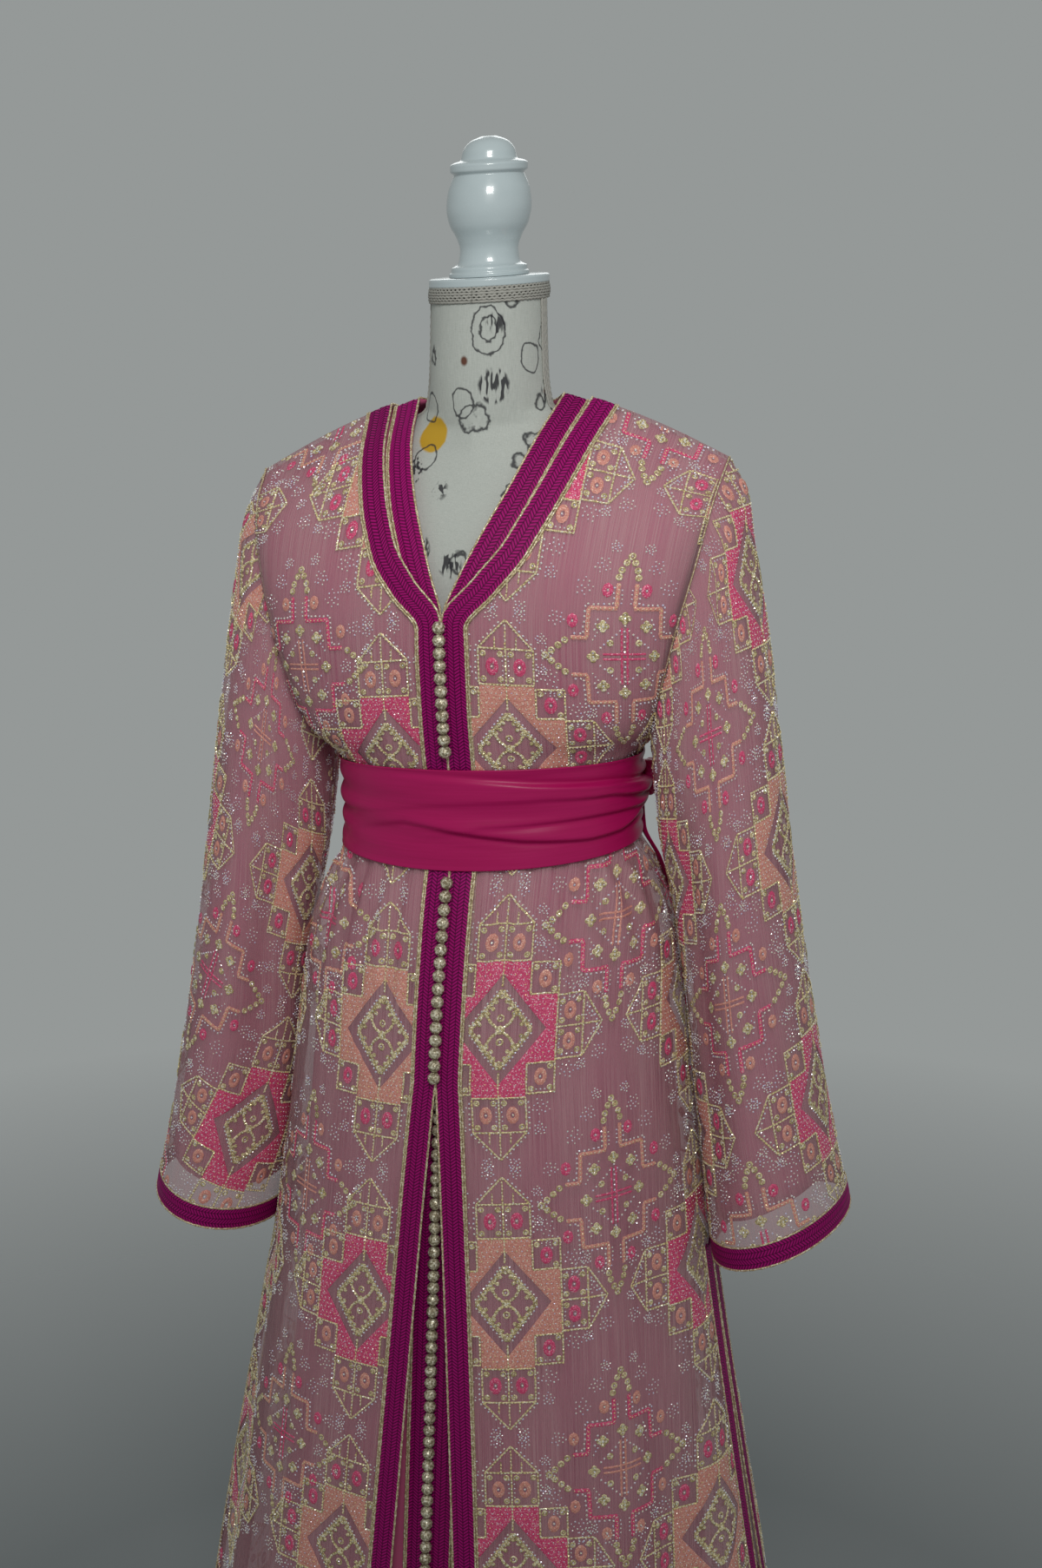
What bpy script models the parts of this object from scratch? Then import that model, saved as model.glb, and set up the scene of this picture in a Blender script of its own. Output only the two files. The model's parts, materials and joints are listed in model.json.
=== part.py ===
"""Moroccan kaftan (takchita) on a limbless dress form.

Metres, +Z up, the garment faces -Y and its own left is +X.  The origin is the centre of the
dress form's round foot, on the floor.  Two layers hang over each other: a sheer outer kaftan and
a plain under dress.  Each layer is one smooth surface, worked out from short tables, and cut into
its sewn pieces; bands and buttons are made from the points of the panel that they lie on.
"""
import math
from collections import namedtuple

import bmesh
import bpy
import numpy as np

# ---------------------------------------------------------------- driving dimensions
CLOTH = 0.0010            # wall of both layers
SEAM_GAP = 0.00034        # between two sewn pieces
LIFT = 0.0003             # between a band and the cloth under it
BAND_WIDTH = 0.0205       # braided band, sfifa
BAND_WALL = 0.0014

HEM_Z = 0.018
ARM_Z = 1.158             # underarm point, top of the round rows
LEAN = 0.060              # the form stands a little crooked: rise per metre of x
LEAN_FROM = 0.30          # the skirt hangs straight below this height
LEAN_FULL = 0.80
CLOSURE_X = -0.007        # the closed front edges lie a little to one side of the middle
OPEN_BELOW = 0.885        # last button of the outer kaftan
SLIT_TOP = 0.695          # side slits start here
SLIT_HALF_GAP = math.radians(4.0)

BUTTON_R = 0.00445
BUTTON_PITCH = 0.0118
CORD_R = 0.0015

OUTER_ROWS = (HEM_Z, 0.16, 0.30, 0.44, 0.57, 0.69, 0.78, 0.865, 0.93, 0.985,
              1.025, 1.060, 1.100, 1.143)
UNDER_ROWS = (HEM_Z, 0.25, 0.48, 0.69, 0.865, 0.95, 1.02, 1.060, 1.100, 1.143)
UPPER_ROWS = (0.0, 0.12, 0.25, 0.38, 0.50, 0.62, 0.72, 0.81, 0.90, 1.0)
OUTER_COLUMNS = 14        # each quarter of the outer layer, the strips under its bands included
UNDER_COLUMNS = 7         # each quarter of the under dress
UNDER_DROP = 0.0036       # the under dress lies this far under the outer layer's surface
NECK_STEP = 0.0235        # the outer neck edge lies this far outside the under dress's

# ---------------------------------------------------------------- tables
# half widths (w) and half depths (d) of the smooth sections, front and back
Section = namedtuple("Section", "z outer_w outer_d outer_back under_w under_d under_back")
SECTIONS = (
    Section(0.018, 0.318, 0.250, 0.262, 0.236, 0.234, 0.225),
    Section(0.200, 0.287, 0.226, 0.236, 0.220, 0.210, 0.205),
    Section(0.360, 0.260, 0.205, 0.213, 0.206, 0.189, 0.188),
    Section(0.500, 0.236, 0.187, 0.193, 0.195, 0.171, 0.172),
    Section(0.660, 0.210, 0.168, 0.173, 0.182, 0.152, 0.156),
    Section(0.800, 0.191, 0.152, 0.158, 0.171, 0.136, 0.143),
    Section(0.900, 0.179, 0.139, 0.147, 0.163, 0.123, 0.134),
    Section(0.950, 0.172, 0.130, 0.139, 0.157, 0.1155, 0.127),
    Section(1.000, 0.162, 0.118, 0.128, 0.147, 0.107, 0.117),
    Section(1.040, 0.147, 0.106, 0.115, 0.134, 0.0985, 0.105),
    Section(1.070, 0.1310, 0.0955, 0.102, 0.1235, 0.0905, 0.095),
    Section(1.100, 0.1280, 0.0940, 0.100, 0.1205, 0.0890, 0.093),
    Section(1.143, 0.1320, 0.0960, 0.101, 0.1245, 0.0910, 0.095),
)

# Neck edge of the under dress, at the level of the outer surface.  w runs from the underarm's
# height to the shoulder: up the closure and then along the neck, at the front and at the back.
EdgeRow = namedtuple("EdgeRow", "w x y z step")
FRONT_EDGE = (
    EdgeRow(0.00, 0.0000, -0.0995, 1.158, 0.0), EdgeRow(0.25, 0.0000, -0.1095, 1.210, 0.0),
    EdgeRow(0.50, 0.0005, -0.1160, 1.2835, 0.0), EdgeRow(0.62, 0.0120, -0.1110, 1.318, 0.6),
    EdgeRow(0.72, 0.0260, -0.0980, 1.352, 1.0), EdgeRow(0.81, 0.0410, -0.0780, 1.386, 1.0),
    EdgeRow(0.90, 0.0550, -0.0470, 1.424, 1.0), EdgeRow(1.00, 0.0650, 0.0040, 1.4565, 1.0),
)
BACK_EDGE = (
    EdgeRow(0.00, 0.0000, 0.1040, 1.158, 0.0), EdgeRow(0.25, 0.0000, 0.1080, 1.225, 0.0),
    EdgeRow(0.50, 0.0000, 0.1040, 1.312, 0.0), EdgeRow(0.62, 0.0000, 0.0920, 1.366, 0.0),
    EdgeRow(0.72, 0.0000, 0.0760, 1.408, 0.0), EdgeRow(0.81, 0.0000, 0.0610, 1.434, 1.6),
    EdgeRow(0.90, 0.0420, 0.0490, 1.445, 1.3), EdgeRow(1.00, 0.0650, 0.0040, 1.4565, 1.0),
)
# armhole edge, from the underarm point to the shoulder tip; y is towards the panel's own side
ARM_EDGE = (
    EdgeRow(0.00, 0.1450, 0.0000, 1.158, 0.0), EdgeRow(0.12, 0.1510, 0.0330, 1.173, 0.0),
    EdgeRow(0.30, 0.1640, 0.0520, 1.212, 0.0), EdgeRow(0.50, 0.1780, 0.0580, 1.265, 0.0),
    EdgeRow(0.70, 0.1920, 0.0500, 1.320, 0.0), EdgeRow(0.86, 0.2010, 0.0320, 1.368, 0.0),
    EdgeRow(1.00, 0.2060, 0.0040, 1.4030, 0.0),
)

# sleeves: outer line, under line, half depth; t runs from the armhole to the cuff
SleeveRow = namedtuple("SleeveRow", "t top_x top_z under_x under_z depth middle_y")
SLEEVE = (
    SleeveRow(0.00, 0.2060, 1.4030, 0.1450, 1.158, 0.058, 0.004),
    SleeveRow(0.12, 0.2290, 1.3350, 0.1500, 1.110, 0.062, 0.003),
    SleeveRow(0.25, 0.2420, 1.2500, 0.1560, 1.065, 0.064, 0.002),
    SleeveRow(0.40, 0.2560, 1.1450, 0.1690, 1.005, 0.066, 0.002),
    SleeveRow(0.55, 0.2700, 1.0400, 0.1800, 0.935, 0.070, 0.002),
    SleeveRow(0.70, 0.2870, 0.9350, 0.1880, 0.862, 0.074, 0.003),
    SleeveRow(0.85, 0.3050, 0.8320, 0.1980, 0.780, 0.081, 0.004),
    SleeveRow(1.00, 0.3280, 0.7280, 0.2105, 0.690, 0.089, 0.006),
)
OUTER_SLEEVE_ROWS = 11
UNDER_SLEEVE_ROWS = 6
UNDER_SLEEVE_DROP = 0.0065     # the under sleeve inside the outer one, past the armhole
UNDER_SLEEVE_END = 0.935       # it stops short of the outer cuff

# dress form: horizontal sections of the covered torso and neck, y is the section's middle
FormRow = namedtuple("FormRow", "z half_w half_d middle_y square")
FORM_SECTIONS = (
    FormRow(0.800, 0.1440, 0.1000, 0.004, 2.0), FormRow(0.830, 0.1500, 0.1060, 0.004, 2.1),
    FormRow(0.900, 0.1420, 0.1030, 0.003, 2.1), FormRow(1.000, 0.1260, 0.0900, 0.002, 2.1),
    FormRow(1.100, 0.1130, 0.0820, 0.000, 2.1), FormRow(1.180, 0.1240, 0.0900, -0.002, 2.1),
    FormRow(1.250, 0.1380, 0.1000, -0.004, 2.2), FormRow(1.320, 0.1500, 0.0920, -0.005, 2.3),
    FormRow(1.360, 0.1600, 0.0770, -0.004, 2.1), FormRow(1.385, 0.1600, 0.0630, -0.003, 1.8),
    FormRow(1.402, 0.1500, 0.0560, -0.002, 1.5), FormRow(1.418, 0.1260, 0.0510, -0.001, 1.2),
    FormRow(1.432, 0.0800, 0.0490, 0.000, 1.25), FormRow(1.446, 0.0545, 0.0485, 0.000, 1.7),
    FormRow(1.477, 0.0500, 0.0485, 0.000, 2.0), FormRow(1.5455, 0.0480, 0.0480, 0.000, 2.0),
)
FORM_SIDES = 24

# turned wooden parts, radius and height
Turn = namedtuple("Turn", "r z")
FINIAL = (
    Turn(0.0335, 1.5533), Turn(0.0335, 1.5560), Turn(0.0318, 1.5575), Turn(0.0318, 1.5605),
    Turn(0.0262, 1.5640), Turn(0.0243, 1.5750), Turn(0.0272, 1.5850), Turn(0.0330, 1.5960),
    Turn(0.0354, 1.6090), Turn(0.0343, 1.6210), Turn(0.0300, 1.6330), Turn(0.0290, 1.6355),
    Turn(0.0322, 1.6385), Turn(0.0322, 1.6430), Turn(0.0285, 1.6455), Turn(0.0235, 1.6470),
    Turn(0.0215, 1.6545), Turn(0.0150, 1.6620), Turn(0.0060, 1.6655),
)
NECK_CAP = (Turn(0.0490, 1.5458), Turn(0.0505, 1.5470), Turn(0.0505, 1.5515), Turn(0.0490, 1.5530))
NECK_TRIM = (Turn(0.0484, 1.5370), Turn(0.0512, 1.5380), Turn(0.0518, 1.5410), Turn(0.0512, 1.5445),
             Turn(0.0484, 1.5452))
POLE_R = 0.0125
BASE = (Turn(0.160, 0.0000), Turn(0.160, 0.0160), Turn(0.152, 0.0220), Turn(0.040, 0.0270),
        Turn(0.024, 0.0330), Turn(0.020, 0.0480))
POLE_BOTTOM = 0.0483

# sash: heights of its edges at the front and the sides, and its soft folds
SASH_LOW = 1.0680
SASH_HIGH_FRONT = 1.1550
SASH_HIGH_SIDE = 1.1420
SASH_ROWS = 7
SASH_COLUMNS = 40
SASH_CLEAR = 0.0026         # over the smooth section of the outer layer
SASH_WALL = 0.0014
SASH_FOLDS = 3.4            # folds over its height
SASH_FOLD_DEPTH = 0.0030
KNOT_ANGLE = math.radians(112)
KNOT_Z = 1.116
KNOT_SIZE = (0.012, 0.017, 0.019)      # outward, along the sash and upward
KNOT_SETTLE = 0.0021        # it lies that much lower than the sash's highest fold
TAIL_HALF_ANGLE = math.radians(5.0)
TAIL_HEIGHTS = (1.092, 1.070, 1.050, 1.030, 1.008)
TAIL_OFFSETS = (0.0086, 0.0076, 0.0050, 0.0038, 0.0034)


# ---------------------------------------------------------------- curves from tables
def read(table, key, column, at):
    """Smooth value of a column where the key column equals at."""
    ks = [getattr(row, key) for row in table]
    vs = [getattr(row, column) for row in table]
    if at <= ks[0]:
        return vs[0]
    if at >= ks[-1]:
        return vs[-1]
    i = max(j for j in range(len(ks) - 1) if ks[j] <= at)
    span = ks[i + 1] - ks[i]
    rise = (vs[i + 1] - vs[i]) / span
    before = (vs[i] - vs[i - 1]) / (ks[i] - ks[i - 1]) if i > 0 else rise
    after = (vs[i + 2] - vs[i + 1]) / (ks[i + 2] - ks[i + 1]) if i + 2 < len(ks) else rise
    start = 0.0 if before * rise <= 0 else 2 * before * rise / (before + rise)
    end = 0.0 if after * rise <= 0 else 2 * after * rise / (after + rise)
    u = (at - ks[i]) / span
    return (vs[i] * (1 + 2 * u) * (1 - u) ** 2 + vs[i + 1] * u * u * (3 - 2 * u)
            + span * (start * u * (1 - u) ** 2 - end * u * u * (1 - u)))


def ramp(low, high, value):
    u = min(1.0, max(0.0, (value - low) / (high - low)))
    return u * u * (3 - 2 * u)


ARC_STEPS = 120


def angle_at(width, depth, start, share):
    """Angle on a quarter ellipse at a share (0 to 1) of its arc from start to a right angle.

    share may be a list; the result has one angle for each."""
    angles = np.linspace(start, math.pi / 2, ARC_STEPS)
    points = np.stack([width * np.sin(angles), depth * np.cos(angles)], -1)
    arc = np.concatenate([[0.0], np.cumsum(np.linalg.norm(np.diff(points, axis=0), axis=1))])
    return np.interp(np.asarray(share) * arc[-1], arc, angles), arc[-1]


def shares(layer, length, start, strip):
    """Column places from start to 1, with a strip as wide as a band at both ends.

    The under dress has no side slit, so it has the first strip alone."""
    last = BAND_WIDTH / length if layer.opens else 0.0
    inner = layer.columns - (2 if layer.opens else 1)
    first = start + strip
    middle = [first + (1 - first - last) * i / inner for i in range(inner + 1)]
    return [start] + middle + ([1.0] if layer.opens else [])


def stand(point):
    """The crooked stand of the form, shared by everything that hangs on it."""
    x, y, z = point
    return np.array([x, y, z + LEAN * x * ramp(LEAN_FROM, LEAN_FULL, z)])


# ---------------------------------------------------------------- folds
GATHER_DEPTH = 0.0024
FOLD_DEPTH = 0.0105
UNDER_FOLD_DEPTH = 0.0030
FRONT_PARTING = 0.054       # each front edge at the hem, from the closure
SLEEVE_HOLLOW = 0.012
SLEEVE_HOLLOW_AT = math.radians(128)
CUFF_SLANT_MEAN = 0.62      # cloth per unit of t at the cuff, in the middle
CUFF_SLANT = 0.065          # and how much more along the outer line


def gather(z):
    """Depth of the small gathers that the sash presses into the outer layer."""
    return GATHER_DEPTH * ramp(0.90, 1.035, z) * (1 - 0.55 * ramp(1.045, 1.075, z)) \
        * (1 - ramp(1.13, 1.24, z))


def fold(angle, side, z, depth):
    """The long soft folds of the skirt: none beside the front bands, full at the back."""
    grown = ramp(1.03, 0.30, z) if z < 1.03 else 0.0
    wave = 0.60 * math.cos(9.0 * angle + 0.7 * side) + 0.40 * math.cos(14.0 * angle + 1.9 * side)
    quiet = ramp(math.radians(22), math.radians(48), angle)
    hand = 1 - 0.75 * math.exp(-((angle - math.pi / 2) / 0.20) ** 2) * ramp(0.62, 0.72, z)
    return depth * grown * (0.25 + 0.75 * wave) * quiet * hand


# ---------------------------------------------------------------- one layer of the garment
Layer = namedtuple("Layer", "name rows columns opens drop sleeve_rows sleeve_end sleeve_drop")
OUTER = Layer("outer", OUTER_ROWS, OUTER_COLUMNS, True, 0.0, OUTER_SLEEVE_ROWS, 1.0, 0.0)
UNDER = Layer("under", UNDER_ROWS, UNDER_COLUMNS, False, UNDER_DROP, UNDER_SLEEVE_ROWS,
              UNDER_SLEEVE_END, UNDER_SLEEVE_DROP)


def edge_x(layer, side, z):
    """Distance of a front edge from the middle plane, towards its own side."""
    parted = 0.0
    if layer.opens and z < OPEN_BELOW:
        parted = FRONT_PARTING * ((OPEN_BELOW - z) / OPEN_BELOW) ** 0.9
    return side * CLOSURE_X + parted


def wave(layer, column):
    """Crest or hollow of the gathers: every other column, none on a band's strip."""
    if layer.opens and 2 <= column <= layer.columns - 2:
        return 1.0 if column % 2 else -1.0
    return 0.0


def round_row(layer, side, z, back):
    """One row of a quarter below the underarm, from its middle edge to the side seam."""
    width = read(SECTIONS, "z", layer.name + "_w", z)
    depth = read(SECTIONS, "z", layer.name + ("_back" if back else "_d"), z)
    start = 0.0 if back else math.asin(edge_x(layer, side, z) / width)
    slit = SLIT_HALF_GAP * (1 - z / SLIT_TOP) if layer.opens and z < SLIT_TOP else 0.0
    _, whole = angle_at(width, depth, start, 0.0)
    length = whole - slit * depth
    places = np.array(shares(layer, length, 0.0, BAND_WIDTH / length)) * length / whole
    angles, _ = angle_at(width, depth, start, places)
    row = []
    for column, angle in enumerate(angles):
        swell = gather(z) * wave(layer, column)
        depth_of_fold = FOLD_DEPTH if layer.opens else UNDER_FOLD_DEPTH
        swell += fold(math.pi - angle if back else angle, side, z, depth_of_fold)
        normal = np.array([math.sin(angle) / width, math.cos(angle) / depth])
        normal /= np.linalg.norm(normal)
        x = width * math.sin(angle) + swell * normal[0]
        y = depth * math.cos(angle) + swell * normal[1]
        row.append((side * x, y if back else -y, z))
    return row


def upper_row(layer, side, w, back):
    """One row above the underarm, from the closure or neck to the armhole."""
    table = BACK_EDGE if back else FRONT_EDGE
    x0, y0, z0 = (read(table, "w", axis, w) for axis in "xyz")
    x1, y1, z1 = (read(ARM_EDGE, "w", axis, w) for axis in "xyz")
    if not back:
        y1 = y0 if w == 1 else -y1
        x0 += side * CLOSURE_X * (1 - ramp(0.5, 1.0, w))
    across, along = x1 - x0, y1 - y0
    _, length = angle_at(across, abs(along) + 1e-6, 0.0, 0.0)
    step = NECK_STEP * read(table, "w", "step", w) if layer.opens else 0.0
    strip = BAND_WIDTH * (1 + 0.16 * ramp(0.45, 0.6, w) * (1 - ramp(0.8, 1.0, w)))
    places = shares(layer, length, step / length, strip / length)
    angles, _ = angle_at(across, abs(along) + 1e-6, 0.0, places)
    flat = ramp(0.78, 1.0, w)     # the last rows turn straight and meet along the shoulder
    row = []
    for column, (place, angle) in enumerate(zip(places, angles)):
        sine = (1 - flat) * math.sin(angle) + flat * place
        drop = (1 - flat) * (1 - math.cos(angle)) + flat * place
        swell = gather(ARM_Z + 0.25 * w) * wave(layer, column)
        row.append((side * (x0 + across * sine), y0 + along * drop + (swell if back else -swell),
                    z0 + (z1 - z0) * (0.35 * place + 0.65 * sine)))
    return row


def half_panel(layer, side, back):
    """Points of half a front or back, rows from the hem to the shoulder."""
    rows = [round_row(layer, side, z, back) for z in layer.rows]
    rows += [upper_row(layer, side, w, back) for w in UPPER_ROWS]
    return np.array(rows)


def sleeve_section(side, t, around):
    """A point of the sleeve's ring; around is 0 at the outer line and turns to the front."""
    top_x, top_z, under_x, under_z, depth, middle_y = (
        read(SLEEVE, "t", name, t)
        for name in ("top_x", "top_z", "under_x", "under_z", "depth", "middle_y"))
    # a soft hollow where the cloth folds in along the inner front
    hollow = SLEEVE_HOLLOW * math.exp(-((around - SLEEVE_HOLLOW_AT) / 0.42) ** 2)
    hollow *= ramp(0.1, 0.45, t) * (1 - ramp(0.75, 1.0, t))
    out = 1 - hollow / depth
    x = (top_x + under_x) / 2 + (top_x - under_x) / 2 * math.cos(around) * out
    z = (top_z + under_z) / 2 + (top_z - under_z) / 2 * math.cos(around) * out
    return (side * x, middle_y - depth * math.sin(around) * out, z)


def sleeve_place(layer, row, turn):
    """Place of a ring along the sleeve; the outer cuff's last rings are a band's width apart."""
    if row == layer.sleeve_rows:
        return layer.sleeve_end
    if not layer.opens:
        return layer.sleeve_end * row / layer.sleeve_rows
    band_share = BAND_WIDTH / (CUFF_SLANT_MEAN + CUFF_SLANT * math.cos(turn))
    return (1 - band_share) * row / (layer.sleeve_rows - 1)


def sleeve_tube(layer, side, front, back):
    """Rings from the points of the armhole to the end of the sleeve."""
    first_upper = len(layer.rows)
    armhole = np.concatenate([front[first_upper:, -1], back[first_upper:, -1][-2:0:-1]])
    count = len(armhole)
    turns = [math.pi - 2 * math.pi * k / count for k in range(count)]
    start = np.array([sleeve_section(side, 0.0, turn) for turn in turns])
    rings = []
    for i in range(layer.sleeve_rows + 1):
        ring = np.array([sleeve_section(side, sleeve_place(layer, i, turn), turn) for turn in turns])
        held = 1 - ramp(0.0, 0.30, sleeve_place(layer, i, 0.0))
        rings.append(ring + held * (armhole - start))
    return np.array(rings)


def layer_patches(layer):
    """All points of a layer: half panels by (side, back) and sleeves by side.

    Each patch is a tuple of its points, whether its rows close, and whether it turns over."""
    patches = {}
    for side in (1, -1):
        for back in (False, True):
            patches[side, back] = (half_panel(layer, side, back), False, (side < 0) != back)
        tube = sleeve_tube(layer, side, patches[side, False][0], patches[side, True][0])
        patches[side] = (tube, True, side > 0)
    _, _, joint = joined_normals(patches)
    first_upper = len(layer.rows)
    placed = {}
    for name, (points, closed, flip) in patches.items():
        moved = points.copy()
        for r in range(points.shape[0]):
            for c in range(points.shape[1]):
                if closed:
                    t = layer.sleeve_end * r / layer.sleeve_rows
                    drop = layer.drop + (layer.sleeve_drop - layer.drop) * ramp(0.0, 0.3, t)
                else:
                    drop = layer.drop if r >= first_upper else 0.0
                moved[r, c] = stand(points[r, c] - joint[key_of(points[r, c])] * drop)
        placed[name] = (moved, closed, flip)
    return placed


# ---------------------------------------------------------------- meshes from points
MERGE = 5
SHARE_LIMIT = 0.1         # cosine between two normals that still make one mitre
HAND = {1: "left", -1: "right"}


def key_of(point):
    return tuple(np.round(point, MERGE))


def grid_faces(patch, closed):
    """Corner points of each cell of a patch, turning the same way all over."""
    rows, columns = patch.shape[:2]
    for r in range(rows - 1):
        for c in range(columns if closed else columns - 1):
            d = (c + 1) % columns
            yield (patch[r, c], patch[r, d], patch[r + 1, d], patch[r + 1, c])


def joined_normals(patches):
    """Normals of a layer's pieces at each point, as body and sleeve dictionaries.

    Body and sleeve share a normal along the armhole, apart from the underarm, where the cloth
    folds back on itself and each wall keeps its own side.  joint holds the shared ones all round."""
    body = surface_normals([patch for name, patch in patches.items() if name not in HAND])
    tubes = {side: surface_normals([patches[side]]) for side in HAND}
    joint = dict(body)
    for side, tube in tubes.items():
        for key, normal in tube.items():
            shared = normal + body.get(key, 0)
            joint[key] = shared / np.linalg.norm(shared)
            if key in body and np.dot(normal, body[key]) > SHARE_LIMIT:
                tube[key] = body[key] = joint[key]
    return body, tubes, joint


def surface_normals(patches):
    """Normal at each point of some patches that join smoothly."""
    sums = {}
    for patch, closed, flip in patches:
        for corners in grid_faces(patch, closed):
            normal = np.cross(corners[2] - corners[0], corners[3] - corners[1])
            normal = -normal if flip else normal
            for corner in corners:
                sums[key_of(corner)] = sums.get(key_of(corner), 0) + normal
    return {key: total / np.linalg.norm(total) for key, total in sums.items()}


def inset_edges(faces, amount):
    """Moves open edges in by amount along the cloth, which leaves the gap at each seam."""
    uses = {}
    for face in faces:
        for a, b in zip(face, face[1:] + face[:1]):
            uses.setdefault(frozenset((key_of(a), key_of(b))), []).append((a, b, face))
    shift = {}
    for owners in uses.values():
        if len(owners) > 1:
            continue
        a, b, face = owners[0]
        along = (b - a) / np.linalg.norm(b - a)
        inward = sum(face) / len(face) - (a + b) / 2
        inward = inward - along * np.dot(inward, along)
        inward /= np.linalg.norm(inward)
        for end in (a, b):
            shift.setdefault(key_of(end), []).append(inward)
    moved = {}
    for key, inwards in shift.items():
        total = sum(inwards)
        total /= max(0.5, np.dot(total, inwards[0]))
        moved[key] = total * amount
    return moved


def wall(name, patches, normals, inner, outer, material, raised=None):
    """Closed wall over the patches, from the offset inner to the offset outer.

    raised adds to the outer offset at the points that it names; each cell is split the same way
    on both faces, so a band lies evenly on the cloth under it."""
    raised = raised or {}
    faces = []
    for patch, closed, flip in patches:
        for corners in grid_faces(patch, closed):
            faces.append(list(corners[::-1]) if flip else list(corners))
    moved = inset_edges(faces, SEAM_GAP / 2)
    mesh = bmesh.new()
    made = {}

    def vertex(point, level):
        key = (key_of(point), level)
        if key not in made:
            offset = outer + raised.get(key[0], 0.0) if level else inner
            place = point + moved.get(key[0], 0) + normals[key[0]] * offset
            made[key] = mesh.verts.new(place)
        return made[key]

    used = {}
    for face in faces:
        mesh.faces.new([vertex(point, 1) for point in face])
        mesh.faces.new([vertex(face[i], 0) for i in (0, 3, 2, 1)])
        for a, b in zip(face, face[1:] + face[:1]):
            used.setdefault(frozenset((key_of(a), key_of(b))), []).append((a, b))
    for owners in used.values():
        if len(owners) == 1:
            a, b = owners[0]
            mesh.faces.new([vertex(b, 1), vertex(a, 1), vertex(a, 0), vertex(b, 0)])
    return finish(name, mesh, material)


def finish(name, mesh, material):
    data = bpy.data.meshes.new(name)
    bmesh.ops.triangulate(mesh, faces=mesh.faces[:], quad_method="FIXED")
    mesh.to_mesh(data)
    mesh.free()
    data.materials.append(material)
    data.shade_smooth()
    piece = bpy.data.objects.new(name, data)
    bpy.context.scene.collection.objects.link(piece)
    return piece


def rings_to_solid(name, rings, material):
    """Closed solid through rings of equal count, capped at both ends."""
    mesh = bmesh.new()
    loops = [[mesh.verts.new(point) for point in ring] for ring in rings]
    count = len(loops[0])
    for low, high in zip(loops, loops[1:]):
        for k in range(count):
            m = (k + 1) % count
            mesh.faces.new([low[k], low[m], high[m], high[k]])
    mesh.faces.new(list(reversed(loops[0])))
    mesh.faces.new(loops[-1])
    bmesh.ops.recalc_face_normals(mesh, faces=mesh.faces[:])
    return finish(name, mesh, material)


def turned(name, profile, material, sides, hollow=None):
    """Solid of revolution; with hollow it is a ring around a hole of that radius."""
    mesh = bmesh.new()
    points = [(turn.r, 0, turn.z) for turn in profile]
    if hollow:
        points = [(hollow, 0, points[0][2])] + points + [(hollow, 0, points[-1][2])]
    else:
        points = [(0, 0, points[0][2])] + points + [(0, 0, points[-1][2])]
    verts = [mesh.verts.new(point) for point in points]
    edges = [mesh.edges.new(pair) for pair in zip(verts, verts[1:])]
    if hollow:
        edges.append(mesh.edges.new((verts[-1], verts[0])))
    bmesh.ops.spin(mesh, geom=verts + edges, cent=(0, 0, 0), axis=(0, 0, 1),
                   angle=2 * math.pi, steps=sides, use_merge=True)
    bmesh.ops.remove_doubles(mesh, verts=mesh.verts[:], dist=1e-6)
    bmesh.ops.recalc_face_normals(mesh, faces=mesh.faces[:])
    for vert in mesh.verts:
        vert.co = stand(vert.co)
    return finish(name, mesh, material)


# ---------------------------------------------------------------- materials
def make_material(name, colour, roughness, metallic=0.0):
    material = bpy.data.materials.new(name)
    material.use_nodes = True
    shader = material.node_tree.nodes["Principled BSDF"]
    shader.inputs["Base Color"].default_value = (*colour, 1.0)
    shader.inputs["Roughness"].default_value = roughness
    shader.inputs["Metallic"].default_value = metallic
    return material


# ---------------------------------------------------------------- pieces
BACK_NOTCH = {"outer": 6, "under": 7}       # upper row at which the back neck starts


def garment_layer(layer, cloth):
    """Fronts, back and sleeves of one layer; returns its patches and normals for the bands."""
    patches = layer_patches(layer)
    body, tubes, _ = joined_normals(patches)
    for side in (1, -1):
        wall(f"{layer.name}_front_{HAND[side]}", [patches[side, False]], body, -CLOTH, 0.0, cloth)
        wall(f"{layer.name}_sleeve_{HAND[side]}", [patches[side]], tubes[side], -CLOTH, 0.0, cloth)
    wall(f"{layer.name}_back", [patches[1, True], patches[-1, True]], body, -CLOTH, 0.0, cloth)
    return patches, body, tubes


def band(name, strips, normals, braid):
    wall(name, strips, normals, LIFT, LIFT + BAND_WALL, braid)


def front_band(layer, patches, normals, braid):
    """Each half's band: up the front edge, along the neck and on to the middle of the back."""
    for side in (1, -1):
        front, _, front_flip = patches[side, False]
        back, _, back_flip = patches[side, True]
        notch = len(layer.rows) + BACK_NOTCH[layer.name]
        band(f"{layer.name}_band_{HAND[side]}",
             [(front[:, :2], False, front_flip), (back[notch:, :2], False, back_flip)], normals, braid)


def slit_bands(layer, patches, normals, braid):
    """Bands on the edges of the side slits, from the hem to the top of the slit."""
    top = layer.rows.index(0.69) + 1
    for side in (1, -1):
        for back, word in ((False, "front"), (True, "back")):
            points, _, flip = patches[side, back]
            band(f"slit_band_{word}_{HAND[side]}", [(points[:top, -2:], False, flip)], normals, braid)


def cuff_bands(patches, tubes, braid):
    for side in (1, -1):
        tube, _, flip = patches[side]
        band(f"cuff_band_{HAND[side]}", [(tube[-2:], True, flip)], tubes[side], braid)


def waist_size(column, z):
    """A size of the outer layer's section, straight between its rows as its wall is."""
    rows = list(OUTER_ROWS)
    sizes = [read(SECTIONS, "z", column, row) for row in rows]
    top = {"outer_w": ARM_EDGE[0].x, "outer_d": -FRONT_EDGE[0].y, "outer_back": BACK_EDGE[0].y}
    return np.interp(z, rows + [ARM_Z], sizes + [top[column]])


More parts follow.
